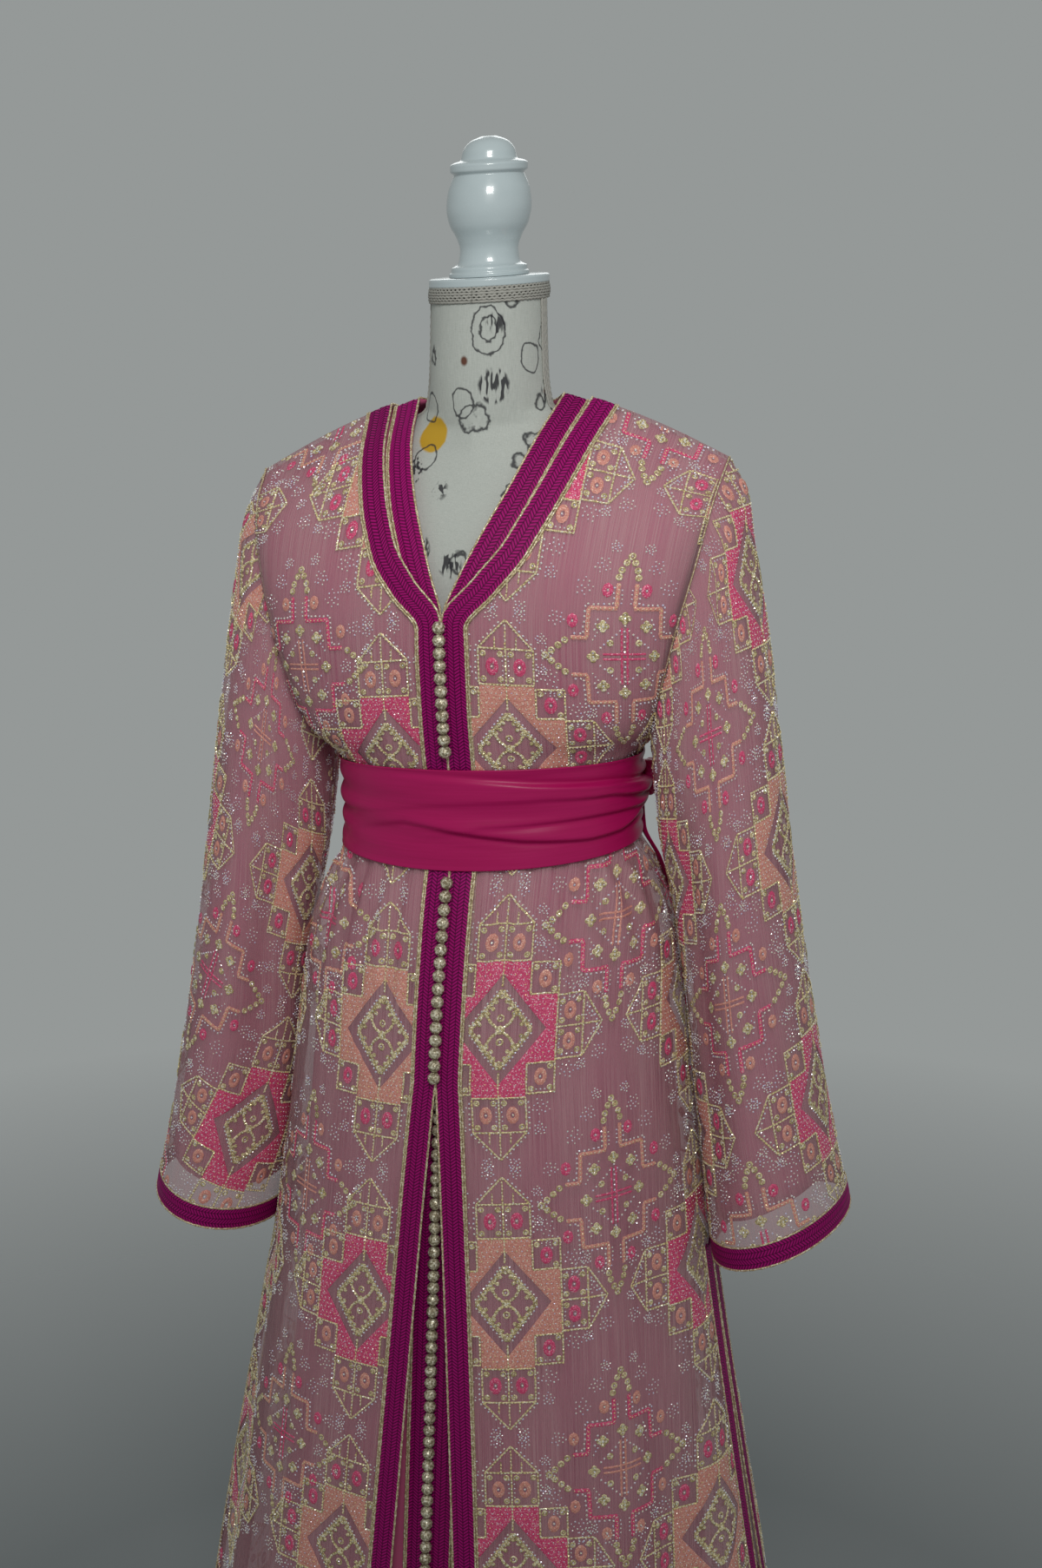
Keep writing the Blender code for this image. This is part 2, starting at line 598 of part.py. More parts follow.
def waist_point(angle, z):
    """Point of the outer layer's smooth section and its outward direction, all round."""
    width = waist_size("outer_w", z)
    depth = waist_size("outer_back" if math.cos(angle) < 0 else "outer_d", z)
    out = np.array([math.sin(angle) / width, -math.cos(angle) / depth, 0.0])
    return np.array([width * math.sin(angle), -depth * math.cos(angle), z]), out / np.linalg.norm(out)


def sash(satin):
    """Wide sash with soft folds over its height, on the gathered waist."""
    rows, raised = [], {}
    for r in range(SASH_ROWS + 1):
        up = r / SASH_ROWS
        row = []
        for c in range(SASH_COLUMNS):
            angle = 2 * math.pi * c / SASH_COLUMNS
            front = 0.5 + 0.5 * math.cos(angle)
            high = SASH_HIGH_SIDE + (SASH_HIGH_FRONT - SASH_HIGH_SIDE) * front ** 2
            point, out = waist_point(angle, SASH_LOW + (high - SASH_LOW) * up)
            point = stand(point + out * SASH_CLEAR)
            drift = 0.22 * math.sin(2 * angle + 0.8) + 0.12 * math.sin(5 * angle)
            crest = 0.5 + 0.5 * math.cos(2 * math.pi * SASH_FOLDS * (up + drift))
            raised[key_of(point)] = SASH_FOLD_DEPTH * crest * math.sin(math.pi * up) ** 0.5
            row.append(point)
        rows.append(row)
    patch = (np.array(rows), True, False)
    wall("sash_band", [patch], surface_normals([patch]), 0.0, SASH_WALL, satin, raised)

    knot = bmesh.new()
    bmesh.ops.create_icosphere(knot, subdivisions=2, radius=1.0)
    middle, out = waist_point(KNOT_ANGLE, KNOT_Z)
    seat = SASH_CLEAR + SASH_WALL + SASH_FOLD_DEPTH - KNOT_SETTLE + KNOT_SIZE[0]
    along = np.array([-out[1], out[0], 0.0])
    for vert in knot.verts:
        x, y, z = vert.co
        vert.co = stand(middle + out * (seat + x * KNOT_SIZE[0]) + along * y * KNOT_SIZE[1]
                        + np.array([0.0, 0.0, z * KNOT_SIZE[2]]))
    finish("sash_knot", knot, satin)

    rows = []
    for z, offset in zip(TAIL_HEIGHTS, TAIL_OFFSETS):
        row = []
        for share in (-1, 0, 1):
            point, out = waist_point(KNOT_ANGLE + share * TAIL_HALF_ANGLE, z)
            row.append(stand(point + out * offset))
        rows.append(row)
    patch = (np.array(rows[::-1]), False, False)
    wall("sash_tail", [patch], surface_normals([patch]), 0.0, SASH_WALL, satin)


def front_line(layer, z):
    """Place of the closure on the outer face of a layer."""
    if z < ARM_Z:
        return np.array([CLOSURE_X, -read(SECTIONS, "z", layer.name + "_d", z), z])
    return np.array([CLOSURE_X, read(FRONT_EDGE, "z", "y", z) + layer.drop, z])


def button_row(name, layer, top, bottom, sides, gold):
    """Ball buttons joined by their cord, down the closure on top of the bands."""
    rings = []
    count = int((top - bottom) / BUTTON_PITCH)
    for i in range(2 * count + 1):
        z = top - BUTTON_PITCH * i / 2
        radius = BUTTON_R if i % 2 else CORD_R
        middle = front_line(layer, z)
        middle[1] -= 2 * LIFT + BAND_WALL + BUTTON_R
        ring = []
        for k in range(sides):
            angle = 2 * math.pi * k / sides
            ring.append(stand(middle + np.array([math.sin(angle), math.cos(angle), 0]) * radius))
        rings.append(ring)
    rings_to_solid(name, rings, gold)


def build():
    for old in list(bpy.data.objects):
        bpy.data.objects.remove(old, do_unlink=True)

    sheer = make_material("embroidered_chiffon", (0.40, 0.22, 0.24), 0.8)
    rose = make_material("rose_cloth", (0.48, 0.20, 0.25), 0.75)
    braid = make_material("magenta_braid", (0.27, 0.02, 0.14), 0.6)
    satin = make_material("magenta_satin", (0.34, 0.01, 0.12), 0.35)
    gold = make_material("gold_thread", (0.55, 0.44, 0.26), 0.45, 0.6)
    linen = make_material("linen_cover", (0.55, 0.55, 0.50), 0.9)
    gimp = make_material("cream_gimp", (0.70, 0.69, 0.64), 0.85)
    paint = make_material("white_paint", (0.62, 0.68, 0.70), 0.35)

    outer, outer_normals, outer_tubes = garment_layer(OUTER, sheer)
    under, under_normals, _ = garment_layer(UNDER, rose)
    front_band(OUTER, outer, outer_normals, braid)
    front_band(UNDER, under, under_normals, braid)
    slit_bands(OUTER, outer, outer_normals, braid)
    cuff_bands(outer, outer_tubes, braid)
    sash(satin)
    button_row("outer_buttons_chest", OUTER, 1.283, 1.163, 6, gold)
    button_row("outer_buttons_skirt", OUTER, 1.060, 0.880, 6, gold)
    button_row("under_buttons", UNDER, 0.868, 0.040, 4, gold)

    rings = []
    for row in FORM_SECTIONS:
        ring = []
        for k in range(FORM_SIDES):
            angle = 2 * math.pi * k / FORM_SIDES
            s, c = math.sin(angle), math.cos(angle)
            power = 2 / row.square
            x = row.half_w * math.copysign(abs(s) ** power, s)
            y = row.middle_y - row.half_d * math.copysign(abs(c) ** power, c)
            ring.append(stand((x, y, row.z)))
        rings.append(ring)
    rings_to_solid("form_torso", rings, linen)
    turned("form_finial", FINIAL, paint, 14)
    turned("form_neck_cap", NECK_CAP, paint, 20)
    turned("form_neck_trim", NECK_TRIM, gimp, 24, hollow=0.0484)
    turned("form_base", BASE, paint, 32)
    turned("form_pole", (Turn(POLE_R, POLE_BOTTOM), Turn(POLE_R, FORM_SECTIONS[0].z - LIFT)), paint, 12)


build()
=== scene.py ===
import json
import math

import bmesh
import bpy
import numpy as np
from mathutils import Euler, Matrix, Vector

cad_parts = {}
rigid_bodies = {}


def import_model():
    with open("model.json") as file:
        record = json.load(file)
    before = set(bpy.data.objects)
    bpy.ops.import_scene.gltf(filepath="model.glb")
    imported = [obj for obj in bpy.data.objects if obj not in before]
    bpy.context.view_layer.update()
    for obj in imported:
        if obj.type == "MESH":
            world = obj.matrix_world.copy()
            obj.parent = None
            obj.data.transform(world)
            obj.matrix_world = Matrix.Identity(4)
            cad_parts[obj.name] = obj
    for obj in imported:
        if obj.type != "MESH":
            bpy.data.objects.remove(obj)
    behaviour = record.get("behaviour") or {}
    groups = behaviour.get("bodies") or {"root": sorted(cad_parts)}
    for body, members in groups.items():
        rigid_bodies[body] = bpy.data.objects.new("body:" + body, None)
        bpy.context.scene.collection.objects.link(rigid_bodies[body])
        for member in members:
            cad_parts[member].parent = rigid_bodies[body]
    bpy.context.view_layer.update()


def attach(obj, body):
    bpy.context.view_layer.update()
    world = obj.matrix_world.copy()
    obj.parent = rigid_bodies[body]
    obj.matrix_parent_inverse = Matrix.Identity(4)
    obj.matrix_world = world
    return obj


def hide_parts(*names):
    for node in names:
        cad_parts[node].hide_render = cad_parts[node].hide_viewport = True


for leftover in list(bpy.data.objects):
    bpy.data.objects.remove(leftover)
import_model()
print("frame loaded")

# ---- the garment's own measures, in metres

garment = {
    "hemZ": 0.018, "armZ": 1.158,
    "lean": 0.06, "leanFrom": 0.3, "leanFull": 0.8,      # the form stands a little crooked
    "closureX": -0.007, "openBelow": 0.885, "parting": 0.054, "partingCurve": 0.9,
    "slitTop": 0.695, "slitHalfGap": math.radians(4), "slitBandTop": 0.702,
    "bandWidth": 0.0205, "neckStep": 0.0235, "shoulderRound": 0.0048,
}
layers = {
    "outer": {"opens": True, "drop": 0.0, "fold": 0.0105, "sleeveEnd": 1.0, "sleeveDrop": 0.0},
    "under": {"opens": False, "drop": 0.0036, "fold": 0.003, "sleeveEnd": 0.935, "sleeveDrop": 0.0065},
}
# crests pressed in by the sash, and the heights between which they grow, ease and end
gathering = {"depth": 0.0024, "perQuarter": 6, "grow": (0.9, 1.035), "ease": (1.045, 1.075),
             "end": (1.13, 1.24), "small": 0.0008, "smallPitch": 0.0105, "smallGrow": (0.72, 1.03),
             "smallEnd": (1.12, 1.22)}
# long folds of the skirt: share, waves per turn and shift; none in front or under the hands
folding = {"grow": (1.03, 0.3), "waves": ((0.6, 9.0, 0.7), (0.4, 14.0, 1.9)), "swell": 0.75,
           "quiet": (math.radians(22), math.radians(48)), "handDip": 0.75, "handWide": 0.2,
           "handGrow": (0.62, 0.72)}
# half widths and half depths of the smooth sections, from the hem up to the underarm
sections = {
    "z": [0.018, 0.2, 0.36, 0.5, 0.66, 0.8, 0.9, 0.95, 1.0, 1.04, 1.07, 1.1, 1.143, 1.158],
    "outerWide": [0.318, 0.287, 0.26, 0.236, 0.21, 0.191, 0.179, 0.172, 0.162, 0.147, 0.131, 0.128,
                  0.132, 0.145],
    "outerFront": [0.25, 0.226, 0.205, 0.187, 0.168, 0.152, 0.139, 0.13, 0.118, 0.106, 0.0955,
                   0.094, 0.096, 0.0995],
    "outerBack": [0.262, 0.236, 0.213, 0.193, 0.173, 0.158, 0.147, 0.139, 0.128, 0.115, 0.102, 0.1,
                  0.101, 0.104],
    "underWide": [0.236, 0.22, 0.206, 0.195, 0.182, 0.171, 0.163, 0.157, 0.147, 0.134, 0.1235,
                  0.1205, 0.1245, 0.1414],
    "underFront": [0.234, 0.21, 0.189, 0.171, 0.152, 0.136, 0.123, 0.1155, 0.107, 0.0985, 0.0905,
                   0.089, 0.091, 0.0959],
    "underBack": [0.225, 0.205, 0.188, 0.172, 0.156, 0.143, 0.134, 0.127, 0.117, 0.105, 0.095, 0.093,
                  0.095, 0.1004],
}
# edges above the underarm; w runs from the underarm's height to the shoulder
frontEdge = {
    "w": [0, 0.25, 0.5, 0.62, 0.72, 0.81, 0.9, 1.0],
    "x": [0, 0, 0.0005, 0.012, 0.026, 0.041, 0.055, 0.065],
    "y": [-0.0995, -0.1095, -0.116, -0.111, -0.098, -0.078, -0.047, 0.004],
    "z": [1.158, 1.21, 1.2835, 1.318, 1.352, 1.386, 1.424, 1.4565],
    "step": [0, 0, 0, 0.6, 1.0, 1.0, 1.0, 1.0],
}
backEdge = {
    "w": [0, 0.25, 0.5, 0.62, 0.72, 0.81, 0.9, 1.0],
    "x": [0, 0, 0, 0, 0, 0, 0.042, 0.065],
    "y": [0.104, 0.108, 0.104, 0.092, 0.076, 0.061, 0.049, 0.004],
    "z": [1.158, 1.225, 1.312, 1.366, 1.408, 1.434, 1.445, 1.4565],
    "step": [0, 0, 0, 0, 0, 1.6, 1.3, 1.0],
}
armEdge = {
    "w": [0, 0.12, 0.3, 0.5, 0.7, 0.86, 1.0],
    "x": [0.145, 0.151, 0.164, 0.178, 0.192, 0.201, 0.206],
    "front": [0, -0.033, -0.052, -0.058, -0.05, -0.032, 0.004],
    "back": [0, 0.033, 0.052, 0.058, 0.05, 0.032, 0.004],
    "z": [1.158, 1.173, 1.212, 1.265, 1.32, 1.3665, 1.397],
}
sleeveLine = {
    "t": [0, 0.12, 0.25, 0.4, 0.55, 0.7, 0.85, 1.0],
    "topX": [0.206, 0.229, 0.242, 0.256, 0.27, 0.287, 0.305, 0.328],
    "topZ": [1.403, 1.335, 1.25, 1.145, 1.04, 0.935, 0.832, 0.728],
    "lowX": [0.145, 0.15, 0.156, 0.169, 0.18, 0.188, 0.198, 0.2105],
    "lowZ": [1.158, 1.11, 1.065, 1.005, 0.935, 0.862, 0.78, 0.69],
    "depth": [0.058, 0.062, 0.064, 0.066, 0.07, 0.074, 0.081, 0.089],
    "middleY": [0.004, 0.003, 0.002, 0.002, 0.002, 0.003, 0.004, 0.006],
}
sleeveShape = {"topZ": 1.397, "crown": 0.0068, "crownAt": 0.05, "crownLong": 0.045,
               "hollow": 0.012, "hollowAt": math.radians(128), "hollowWide": 0.42}
turnsAtW = [0, 0.12, 0.25, 0.38, 0.5, 0.62, 0.72, 0.81, 0.9, 1.0]    # even steps round the armhole
fineness = {"outer": {"low": 104, "high": 44, "columns": 60, "sleeve": 72, "round": 112},
            "under": {"low": 60, "high": 30, "columns": 26, "sleeve": 40, "round": 56}}
hands = ((1, "left"), (-1, "right"))


def smoothRead(table, key, column, at):
    # a smooth curve through one column of a table, without overshoot
    keys, values = np.array(table[key], float), np.array(table[column], float)
    at = np.asarray(at, float)
    rise = np.diff(values) / np.diff(keys)
    before, after = np.append(rise[:1], rise), np.append(rise, rise[-1:])
    level = before * after <= 0
    slope = np.where(level, 0, 2 * before * after / np.where(level, 1, before + after))
    i = np.clip(np.searchsorted(keys, at, side="right") - 1, 0, len(keys) - 2)
    span = keys[i + 1] - keys[i]
    u = np.clip((at - keys[i]) / span, 0, 1)
    return (values[i] * (1 + 2 * u) * (1 - u) ** 2 + values[i + 1] * u * u * (3 - 2 * u)
            + span * (slope[i] * u * (1 - u) ** 2 - slope[i + 1] * u * u * (1 - u)))


def ramp(low, high, value):
    u = np.clip((value - low) / (high - low), 0, 1)
    return u * u * (3 - 2 * u)


def blend(a, b, share):
    return a * (1 - share) + b * share


def unit(vectors):
    return vectors / np.linalg.norm(vectors, axis=-1, keepdims=True)


def runLength(line):
    # the length so far at each point of a line
    return np.append(0, np.cumsum(np.linalg.norm(np.diff(line, axis=0), axis=1)))


def readLine(line, arc, at):
    return np.stack([np.interp(at, arc, column) for column in line.T], -1)


def soften(values, rounds=1):
    for _ in range(rounds):
        values[1:-1] = (values[:-2] + 2 * values[1:-1] + values[2:]) / 4
    return values


def stand(points):
    points = np.array(points, float)
    z = points[..., 2]
    points[..., 2] = z + garment["lean"] * points[..., 0] * ramp(garment["leanFrom"], garment["leanFull"], z)
    return points


def gathers(layer, z, p, length):
    # crests and hollows pressed in by the sash, none under the bands
    if not layer["opens"]:
        return 0 * p
    look = gathering
    strip, last = garment["bandWidth"] / length, 2 * look["perQuarter"]
    c = last * (p - strip) / (1 - 2 * strip)
    inner = ramp(0, 1, c) * (1 - ramp(last - 1, last, c))
    large = (look["depth"] * ramp(*look["grow"], z) * (1 - 0.55 * ramp(*look["ease"], z))
             * (1 - ramp(*look["end"], z)))
    small = look["small"] * ramp(*look["smallGrow"], z) * (1 - ramp(*look["smallEnd"], z))
    wander = 1.5 * np.sin(p * 11 + z * 6)
    fine = np.cos(2 * np.pi * p * length / look["smallPitch"] + wander)
    return inner * (small * fine - large * np.cos(np.pi * c))


def skirtFold(angle, side, z, depth):
    look = folding
    wave = sum(share * np.cos(turns * angle + shift * side) for share, turns, shift in look["waves"])
    hand = np.exp(-((angle - math.pi / 2) / look["handWide"]) ** 2) * ramp(*look["handGrow"], z)
    return (depth * ramp(*look["grow"], z) * (1 - look["swell"] + look["swell"] * wave)
            * ramp(*look["quiet"], angle) * (1 - look["handDip"] * hand))


def arcAngles(wide, deep, start, shares):
    # angles on an ellipse at these shares of its length, from start to the side
    angles = np.linspace(start, math.pi / 2, 240)
    arc = np.append(0, np.cumsum(np.hypot(np.diff(wide * np.sin(angles)), np.diff(deep * np.cos(angles)))))
    return np.interp(np.asarray(shares) * arc[-1], arc, angles), arc[-1]


def lowRow(name, side, z, back, p):
    # a row below the underarm, from the front edge or the back's middle to the side
    layer = layers[name]
    wide = float(smoothRead(sections, "z", name + "Wide", z))
    deep = float(smoothRead(sections, "z", name + ("Back" if back else "Front"), z))
    parted = slit = 0.0
    if layer["opens"] and z < garment["openBelow"]:
        share = (garment["openBelow"] - z) / garment["openBelow"]
        parted = garment["parting"] * share ** garment["partingCurve"]
    if layer["opens"] and z < garment["slitTop"]:
        slit = garment["slitHalfGap"] * (1 - z / garment["slitTop"])
    edgeX = 0.0 if back else side * garment["closureX"] + parted
    start = math.asin(edgeX / wide)
    _, whole = arcAngles(wide, deep, start, 0)
    length = whole - slit * deep
    angle, _ = arcAngles(wide, deep, start, p * length / whole)
    swell = gathers(layer, z, p, length)
    swell = swell + skirtFold(math.pi - angle if back else angle, side, z, layer["fold"])
    normal = np.stack([np.sin(angle) / wide, np.cos(angle) / deep])
    normal /= np.linalg.norm(normal, axis=0)
    x = wide * np.sin(angle) + swell * normal[0]
    y = deep * np.cos(angle) + swell * normal[1]
    return np.stack([side * x, y if back else -y, np.full_like(x, z)], -1), 0.0, length


def highRow(name, side, w, back, p):
    # a row above the underarm, from the neck's edge to the armhole
    layer = layers[name]
    edge = backEdge if back else frontEdge
    x0, y0, z0 = (float(smoothRead(edge, "w", axis, w)) for axis in "xyz")
    x1, y1, z1 = (float(smoothRead(armEdge, "w", axis, w))
                  for axis in ("x", "back" if back else "front", "z"))
    edgeX = x0
    if not back:
        x0 += side * garment["closureX"] * (1 - ramp(0.5, 1.0, w))
    across, along = x1 - x0, y1 - y0
    _, length = arcAngles(across, abs(along) + 1e-6, 0.0, 0)
    step = garment["neckStep"] * float(smoothRead(edge, "w", "step", w)) if layer["opens"] else 0.0
    place = step / length + (1 - step / length) * p
    angle, _ = arcAngles(across, abs(along) + 1e-6, 0.0, place)
    flat = ramp(0.78, 1.0, w)
    sine = blend(np.sin(angle), place, flat)
    drop = blend(1 - np.cos(angle), place, flat)
    swell = gathers(layer, garment["armZ"] + 0.25 * w, p, length)
    y = y0 + along * drop + (swell if back else -swell)
    z = z0 + (z1 - z0) * (0.35 * place + 0.65 * sine)
    z = z + garment["shoulderRound"] * flat * np.sin(np.pi * place)
    return np.stack([side * (x0 + across * sine), y, z], -1), edgeX + step, length - step


class Cloth:
    # one cut piece as a fine grid: its places in the room, and for each row its flat height,
    # where the row starts across and how wide it is
    def __init__(self, points, height, start, width, turned, around=False):
        self.points, self.height = points, np.array(height)
        self.start, self.width, self.around, self.turned = np.array(start), np.array(width), around, turned
        up, across = np.gradient(points, axis=0), np.gradient(points, axis=1)
        if around:
            across[:, 0] = across[:, -1] = (points[:, 1] - points[:, -2]) / 2
        self.normals = unit(np.cross(across, up) * (-1 if turned else 1))
        self.along = np.repeat(self.height[:, None], points.shape[1], 1)
        if around:
            self.measureColumns()

    def measureColumns(self):
        # on a tube the flat height is measured up each column from the cuff, so its top edge is curved
        steps = np.linalg.norm(np.diff(self.points[::-1], axis=0), axis=-1)
        rise = np.concatenate([np.zeros((1, self.points.shape[1])), np.cumsum(steps, axis=0)])
        self.along = self.height[-1] + rise[::-1]
        self.levels = np.linspace(self.height[-1], self.along.max(), 400)
        rows = np.arange(len(self.points), dtype=float)
        self.rowAt = np.stack([np.interp(self.levels, column[::-1], rows[::-1])
                               for column in self.along.T], 1)[..., None]

    def locateAround(self, x, y):
        share = (y - self.levels[0]) / (self.levels[-1] - self.levels[0]) * (len(self.levels) - 1)
        row = np.full(np.shape(x), len(self.points) * 0.5)
        rows = np.arange(len(self.points), dtype=float)
        for _ in range(4):
            place = x / np.interp(row, rows, self.width) + 0.5
            row = self.read(self.rowAt, share, place)[..., 0]
        top = self.read(self.along[:1].repeat(2, 0)[..., None], 0 * row, place)[..., 0]
        return row, place, (y - self.levels[0], top - y, 1 + 0 * y, 1 + 0 * y)

    def locate(self, x, y):
        # the row and the share across of a flat place, and how far it lies inside each edge
        if self.around:
            return self.locateAround(x, y)
        order = slice(None) if self.height[0] < self.height[-1] else slice(None, None, -1)
        height = self.height[order]
        row, start, width = (np.interp(y, height, column[order]) for column in
                             (np.arange(len(height), dtype=float), self.start, self.width))
        return row, (x - start) / width, (y - height[0], height[-1] - y, x - start, start + width - x)

    def read(self, field, row, place):
        last = np.array(field.shape[:2]) - 1
        row = np.clip(row, 0, last[0])
        column = place * last[1]
        column = column % last[1] if self.around else np.clip(column, 0, last[1])
        r = np.minimum(row.astype(int), last[0] - 1)
        c = np.minimum(column.astype(int), last[1] - 1)
        u, v = (row - r)[..., None], (column - c)[..., None]
        return ((field[r, c] * (1 - v) + field[r, c + 1] * v) * (1 - u)
                + (field[r + 1, c] * (1 - v) + field[r + 1, c + 1] * v) * u)

    def lay(self, x, y, lift):
        row, place, _ = self.locate(x, y)
        return self.read(self.points, row, place) + self.read(self.normals, row, place) * lift[..., None]


def halfPanel(name, side, back):
    size = fineness[name]
    p = np.linspace(0, 1, size["columns"] + 1)
    zs = np.linspace(garment["hemZ"], garment["armZ"], size["low"] + 1)
    made = [lowRow(name, side, z, back, p) for z in zs[:-1]]
    made += [highRow(name, side, w, back, p) for w in np.linspace(0, 1, size["high"] + 1)]
    points = np.array([row for row, _, _ in made])
    middle = size["columns"] // 2
    height = list(zs)
    for i in range(size["low"], len(points) - 1):
        move = points[i + 1, middle] - points[i, middle]
        along = unit(points[i, middle + 1] - points[i, middle - 1])
        height.append(height[-1] + float(np.linalg.norm(move - along * move.dot(along))))
    return Cloth(stand(points), height, [s for _, s, _ in made], [l for _, _, l in made],
                 (side < 0) != back)


def dropped(cloth, depth):
    # the same piece further in, by a depth for each row
    points = cloth.points - cloth.normals * np.asarray(depth)[:, None, None]
    return Cloth(points, cloth.height, cloth.start, cloth.width, cloth.turned, cloth.around)


def sleeveRing(side, turns, t):
    look = sleeveShape
    topX, topZ, lowX, lowZ, depth, middleY = (smoothRead(sleeveLine, "t", column, t) for column in
                                              ("topX", "topZ", "lowX", "lowZ", "depth", "middleY"))
    hollow = look["hollow"] * np.exp(-((turns - look["hollowAt"]) / look["hollowWide"]) ** 2)
    out = 1 - hollow * ramp(0.1, 0.45, t) * (1 - ramp(0.75, 1.0, t)) / depth
    x = (topX + lowX) / 2 + (topX - lowX) / 2 * np.cos(turns) * out
    z = (topZ + lowZ) / 2 + (topZ - lowZ) / 2 * np.cos(turns) * out
    crown = (look["crown"] * np.clip(np.cos(turns), 0, 1) ** 1.5
             * math.exp(-((t - look["crownAt"]) / look["crownLong"]) ** 2))
    return np.stack([side * (x + crown), middleY - depth * np.sin(turns) * out, z + 0.5 * crown], -1)


def sleeveCloth(name, side):
    # rings from the armhole to the cuff; the armhole's own edge eases into them
    size = fineness[name]
    turns = np.linspace(math.pi, -math.pi, size["round"] + 1)
    w = np.interp(9 * (1 - np.abs(turns) / math.pi), np.arange(10), turnsAtW)
    x, z, front, back = (smoothRead(armEdge, "w", column, w) for column in ("x", "z", "front", "back"))
    armhole = np.stack([side * x, np.where(turns > 0, front, back), z], -1)
    first = sleeveRing(side, turns, 0.0)
    places = np.linspace(0, layers[name]["sleeveEnd"], size["sleeve"] + 1)
    even = []
    for t in places:
        points = sleeveRing(side, turns, t) + (1 - ramp(0.0, 0.3, t)) * (armhole - first)
        arc = runLength(points)
        spread = readLine(points, arc, np.linspace(0, arc[-1], len(points)))
        even.append(blend(spread, points, 1 - ramp(0.0, 0.12, t)))
    points = np.array(even)
    width = np.linalg.norm(np.diff(points, axis=1), axis=-1).sum(1)
    height = sleeveShape["topZ"] - runLength(points[:, size["round"] // 2])
    return Cloth(stand(points), height, -width / 2, width, side > 0, True), places


def joinNormals(made, low):
    # one normal along the shoulder and the side seam for front and back
    for side, _ in hands:
        front, back = made[side, False].normals, made[side, True].normals
        ridge, seam = unit(front[-1] + back[-1]), unit(front[:low, -1] + back[:low, -1])
        for normals in (front, back):
            normals[-1], normals[:low, -1] = ridge, seam


def layerCloths(name):
    layer, size = layers[name], fineness[name]
    made = {(side, back): halfPanel(name, side, back) for side, _ in hands for back in (False, True)}
    joinNormals(made, size["low"])
    depth = np.append(np.zeros(size["low"]), np.full(size["high"] + 1, layer["drop"]))
    for key in list(made):
        made[key] = dropped(made[key], depth)
    joinNormals(made, size["low"])
    for side, _ in hands:
        sleeve, places = sleeveCloth(name, side)
        made[side] = dropped(sleeve, blend(layer["drop"], layer["sleeveDrop"], ramp(0.0, 0.3, places)))
    return made


# ---- materials

class Value:
    # wraps a socket, so that sums on it add Math nodes
    def __init__(self, tree, socket):
        self.tree, self.socket = tree, socket

    def maths(self, operation, *others):
        return maths(self.tree, operation, self, *others)

    def __add__(self, other): return self.maths("ADD", other)
    def __radd__(self, other): return maths(self.tree, "ADD", other, self)
    def __sub__(self, other): return self.maths("SUBTRACT", other)
    def __rsub__(self, other): return maths(self.tree, "SUBTRACT", other, self)
    def __mul__(self, other): return self.maths("MULTIPLY", other)
    def __truediv__(self, other): return self.maths("DIVIDE", other)


def add(tree, kind, settings, values, out=0):
    # a node with its settings and the values or links of its sockets; gives one output
    node = tree.nodes.new(kind)
    for key, setting in settings.items():
        if key == "stops":
            for i, (place, colour) in enumerate(setting):
                stop = node.color_ramp.elements[i] if i < 2 else node.color_ramp.elements.new(place)
                stop.position, stop.color = place, (*colour, 1)
        else:
            setattr(node, key, setting)
    for key, value in values.items():
        if isinstance(value, Value):
            tree.links.new(value.socket, node.inputs[key])
        else:
            node.inputs[key].default_value = value
    return Value(tree, node.outputs[out])


def maths(tree, operation, *values):
    return add(tree, "ShaderNodeMath", {"operation": operation}, dict(enumerate(values)))


def clamp(value, low=0, high=1):
    return add(value.tree, "ShaderNodeClamp", {}, {0: value, 1: low, 2: high})


def mixColour(tree, share, a, b):
    pair = [(*c, 1) if isinstance(c, tuple) else c for c in (a, b)]
    return add(tree, "ShaderNodeMix", {"data_type": "RGBA"}, {0: share, 6: pair[0], 7: pair[1]}, 2)


def noise(tree, place, scale, detail=2.0, rough=0.5):
    return add(tree, "ShaderNodeTexNoise", {}, {"Vector": place, "Scale": scale, "Detail": detail,
                                                "Roughness": rough})


def newMaterial(name, rough, metal=0.0, shine=0.5):
    made = bpy.data.materials.new(name)
    made.use_nodes = True
    shader = made.node_tree.nodes["Principled BSDF"]
    for socket, value in (("Roughness", rough), ("Metallic", metal), ("Specular IOR Level", shine)):
        shader.inputs[socket].default_value = value
    return made, made.node_tree, shader


def feed(shader, values):
    for socket, value in values.items():
        shader.id_data.links.new(value.socket, shader.inputs[socket])


def bump(tree, height, strength, distance):
    return add(tree, "ShaderNodeBump", {}, {"Height": height, "Strength": strength, "Distance": distance})


def stretched(tree, place, stretch, shift=(0, 0, 0)):
    return add(tree, "ShaderNodeMapping", {"vector_type": "POINT"},
               {"Vector": place, "Location": shift, "Scale": stretch})


def flatPlace(tree, stretch):
    # metres across and up the cut piece
    return stretched(tree, add(tree, "ShaderNodeUVMap", {"uv_map": "flat"}, {}), stretch)


def objectPlace(tree, stretch=(1, 1, 1)):
    return stretched(tree, add(tree, "ShaderNodeTexCoord", {}, {}, 3), stretch)


def axisOf(tree, place, axis):
    return add(tree, "ShaderNodeSeparateXYZ", {}, {0: place}, axis)


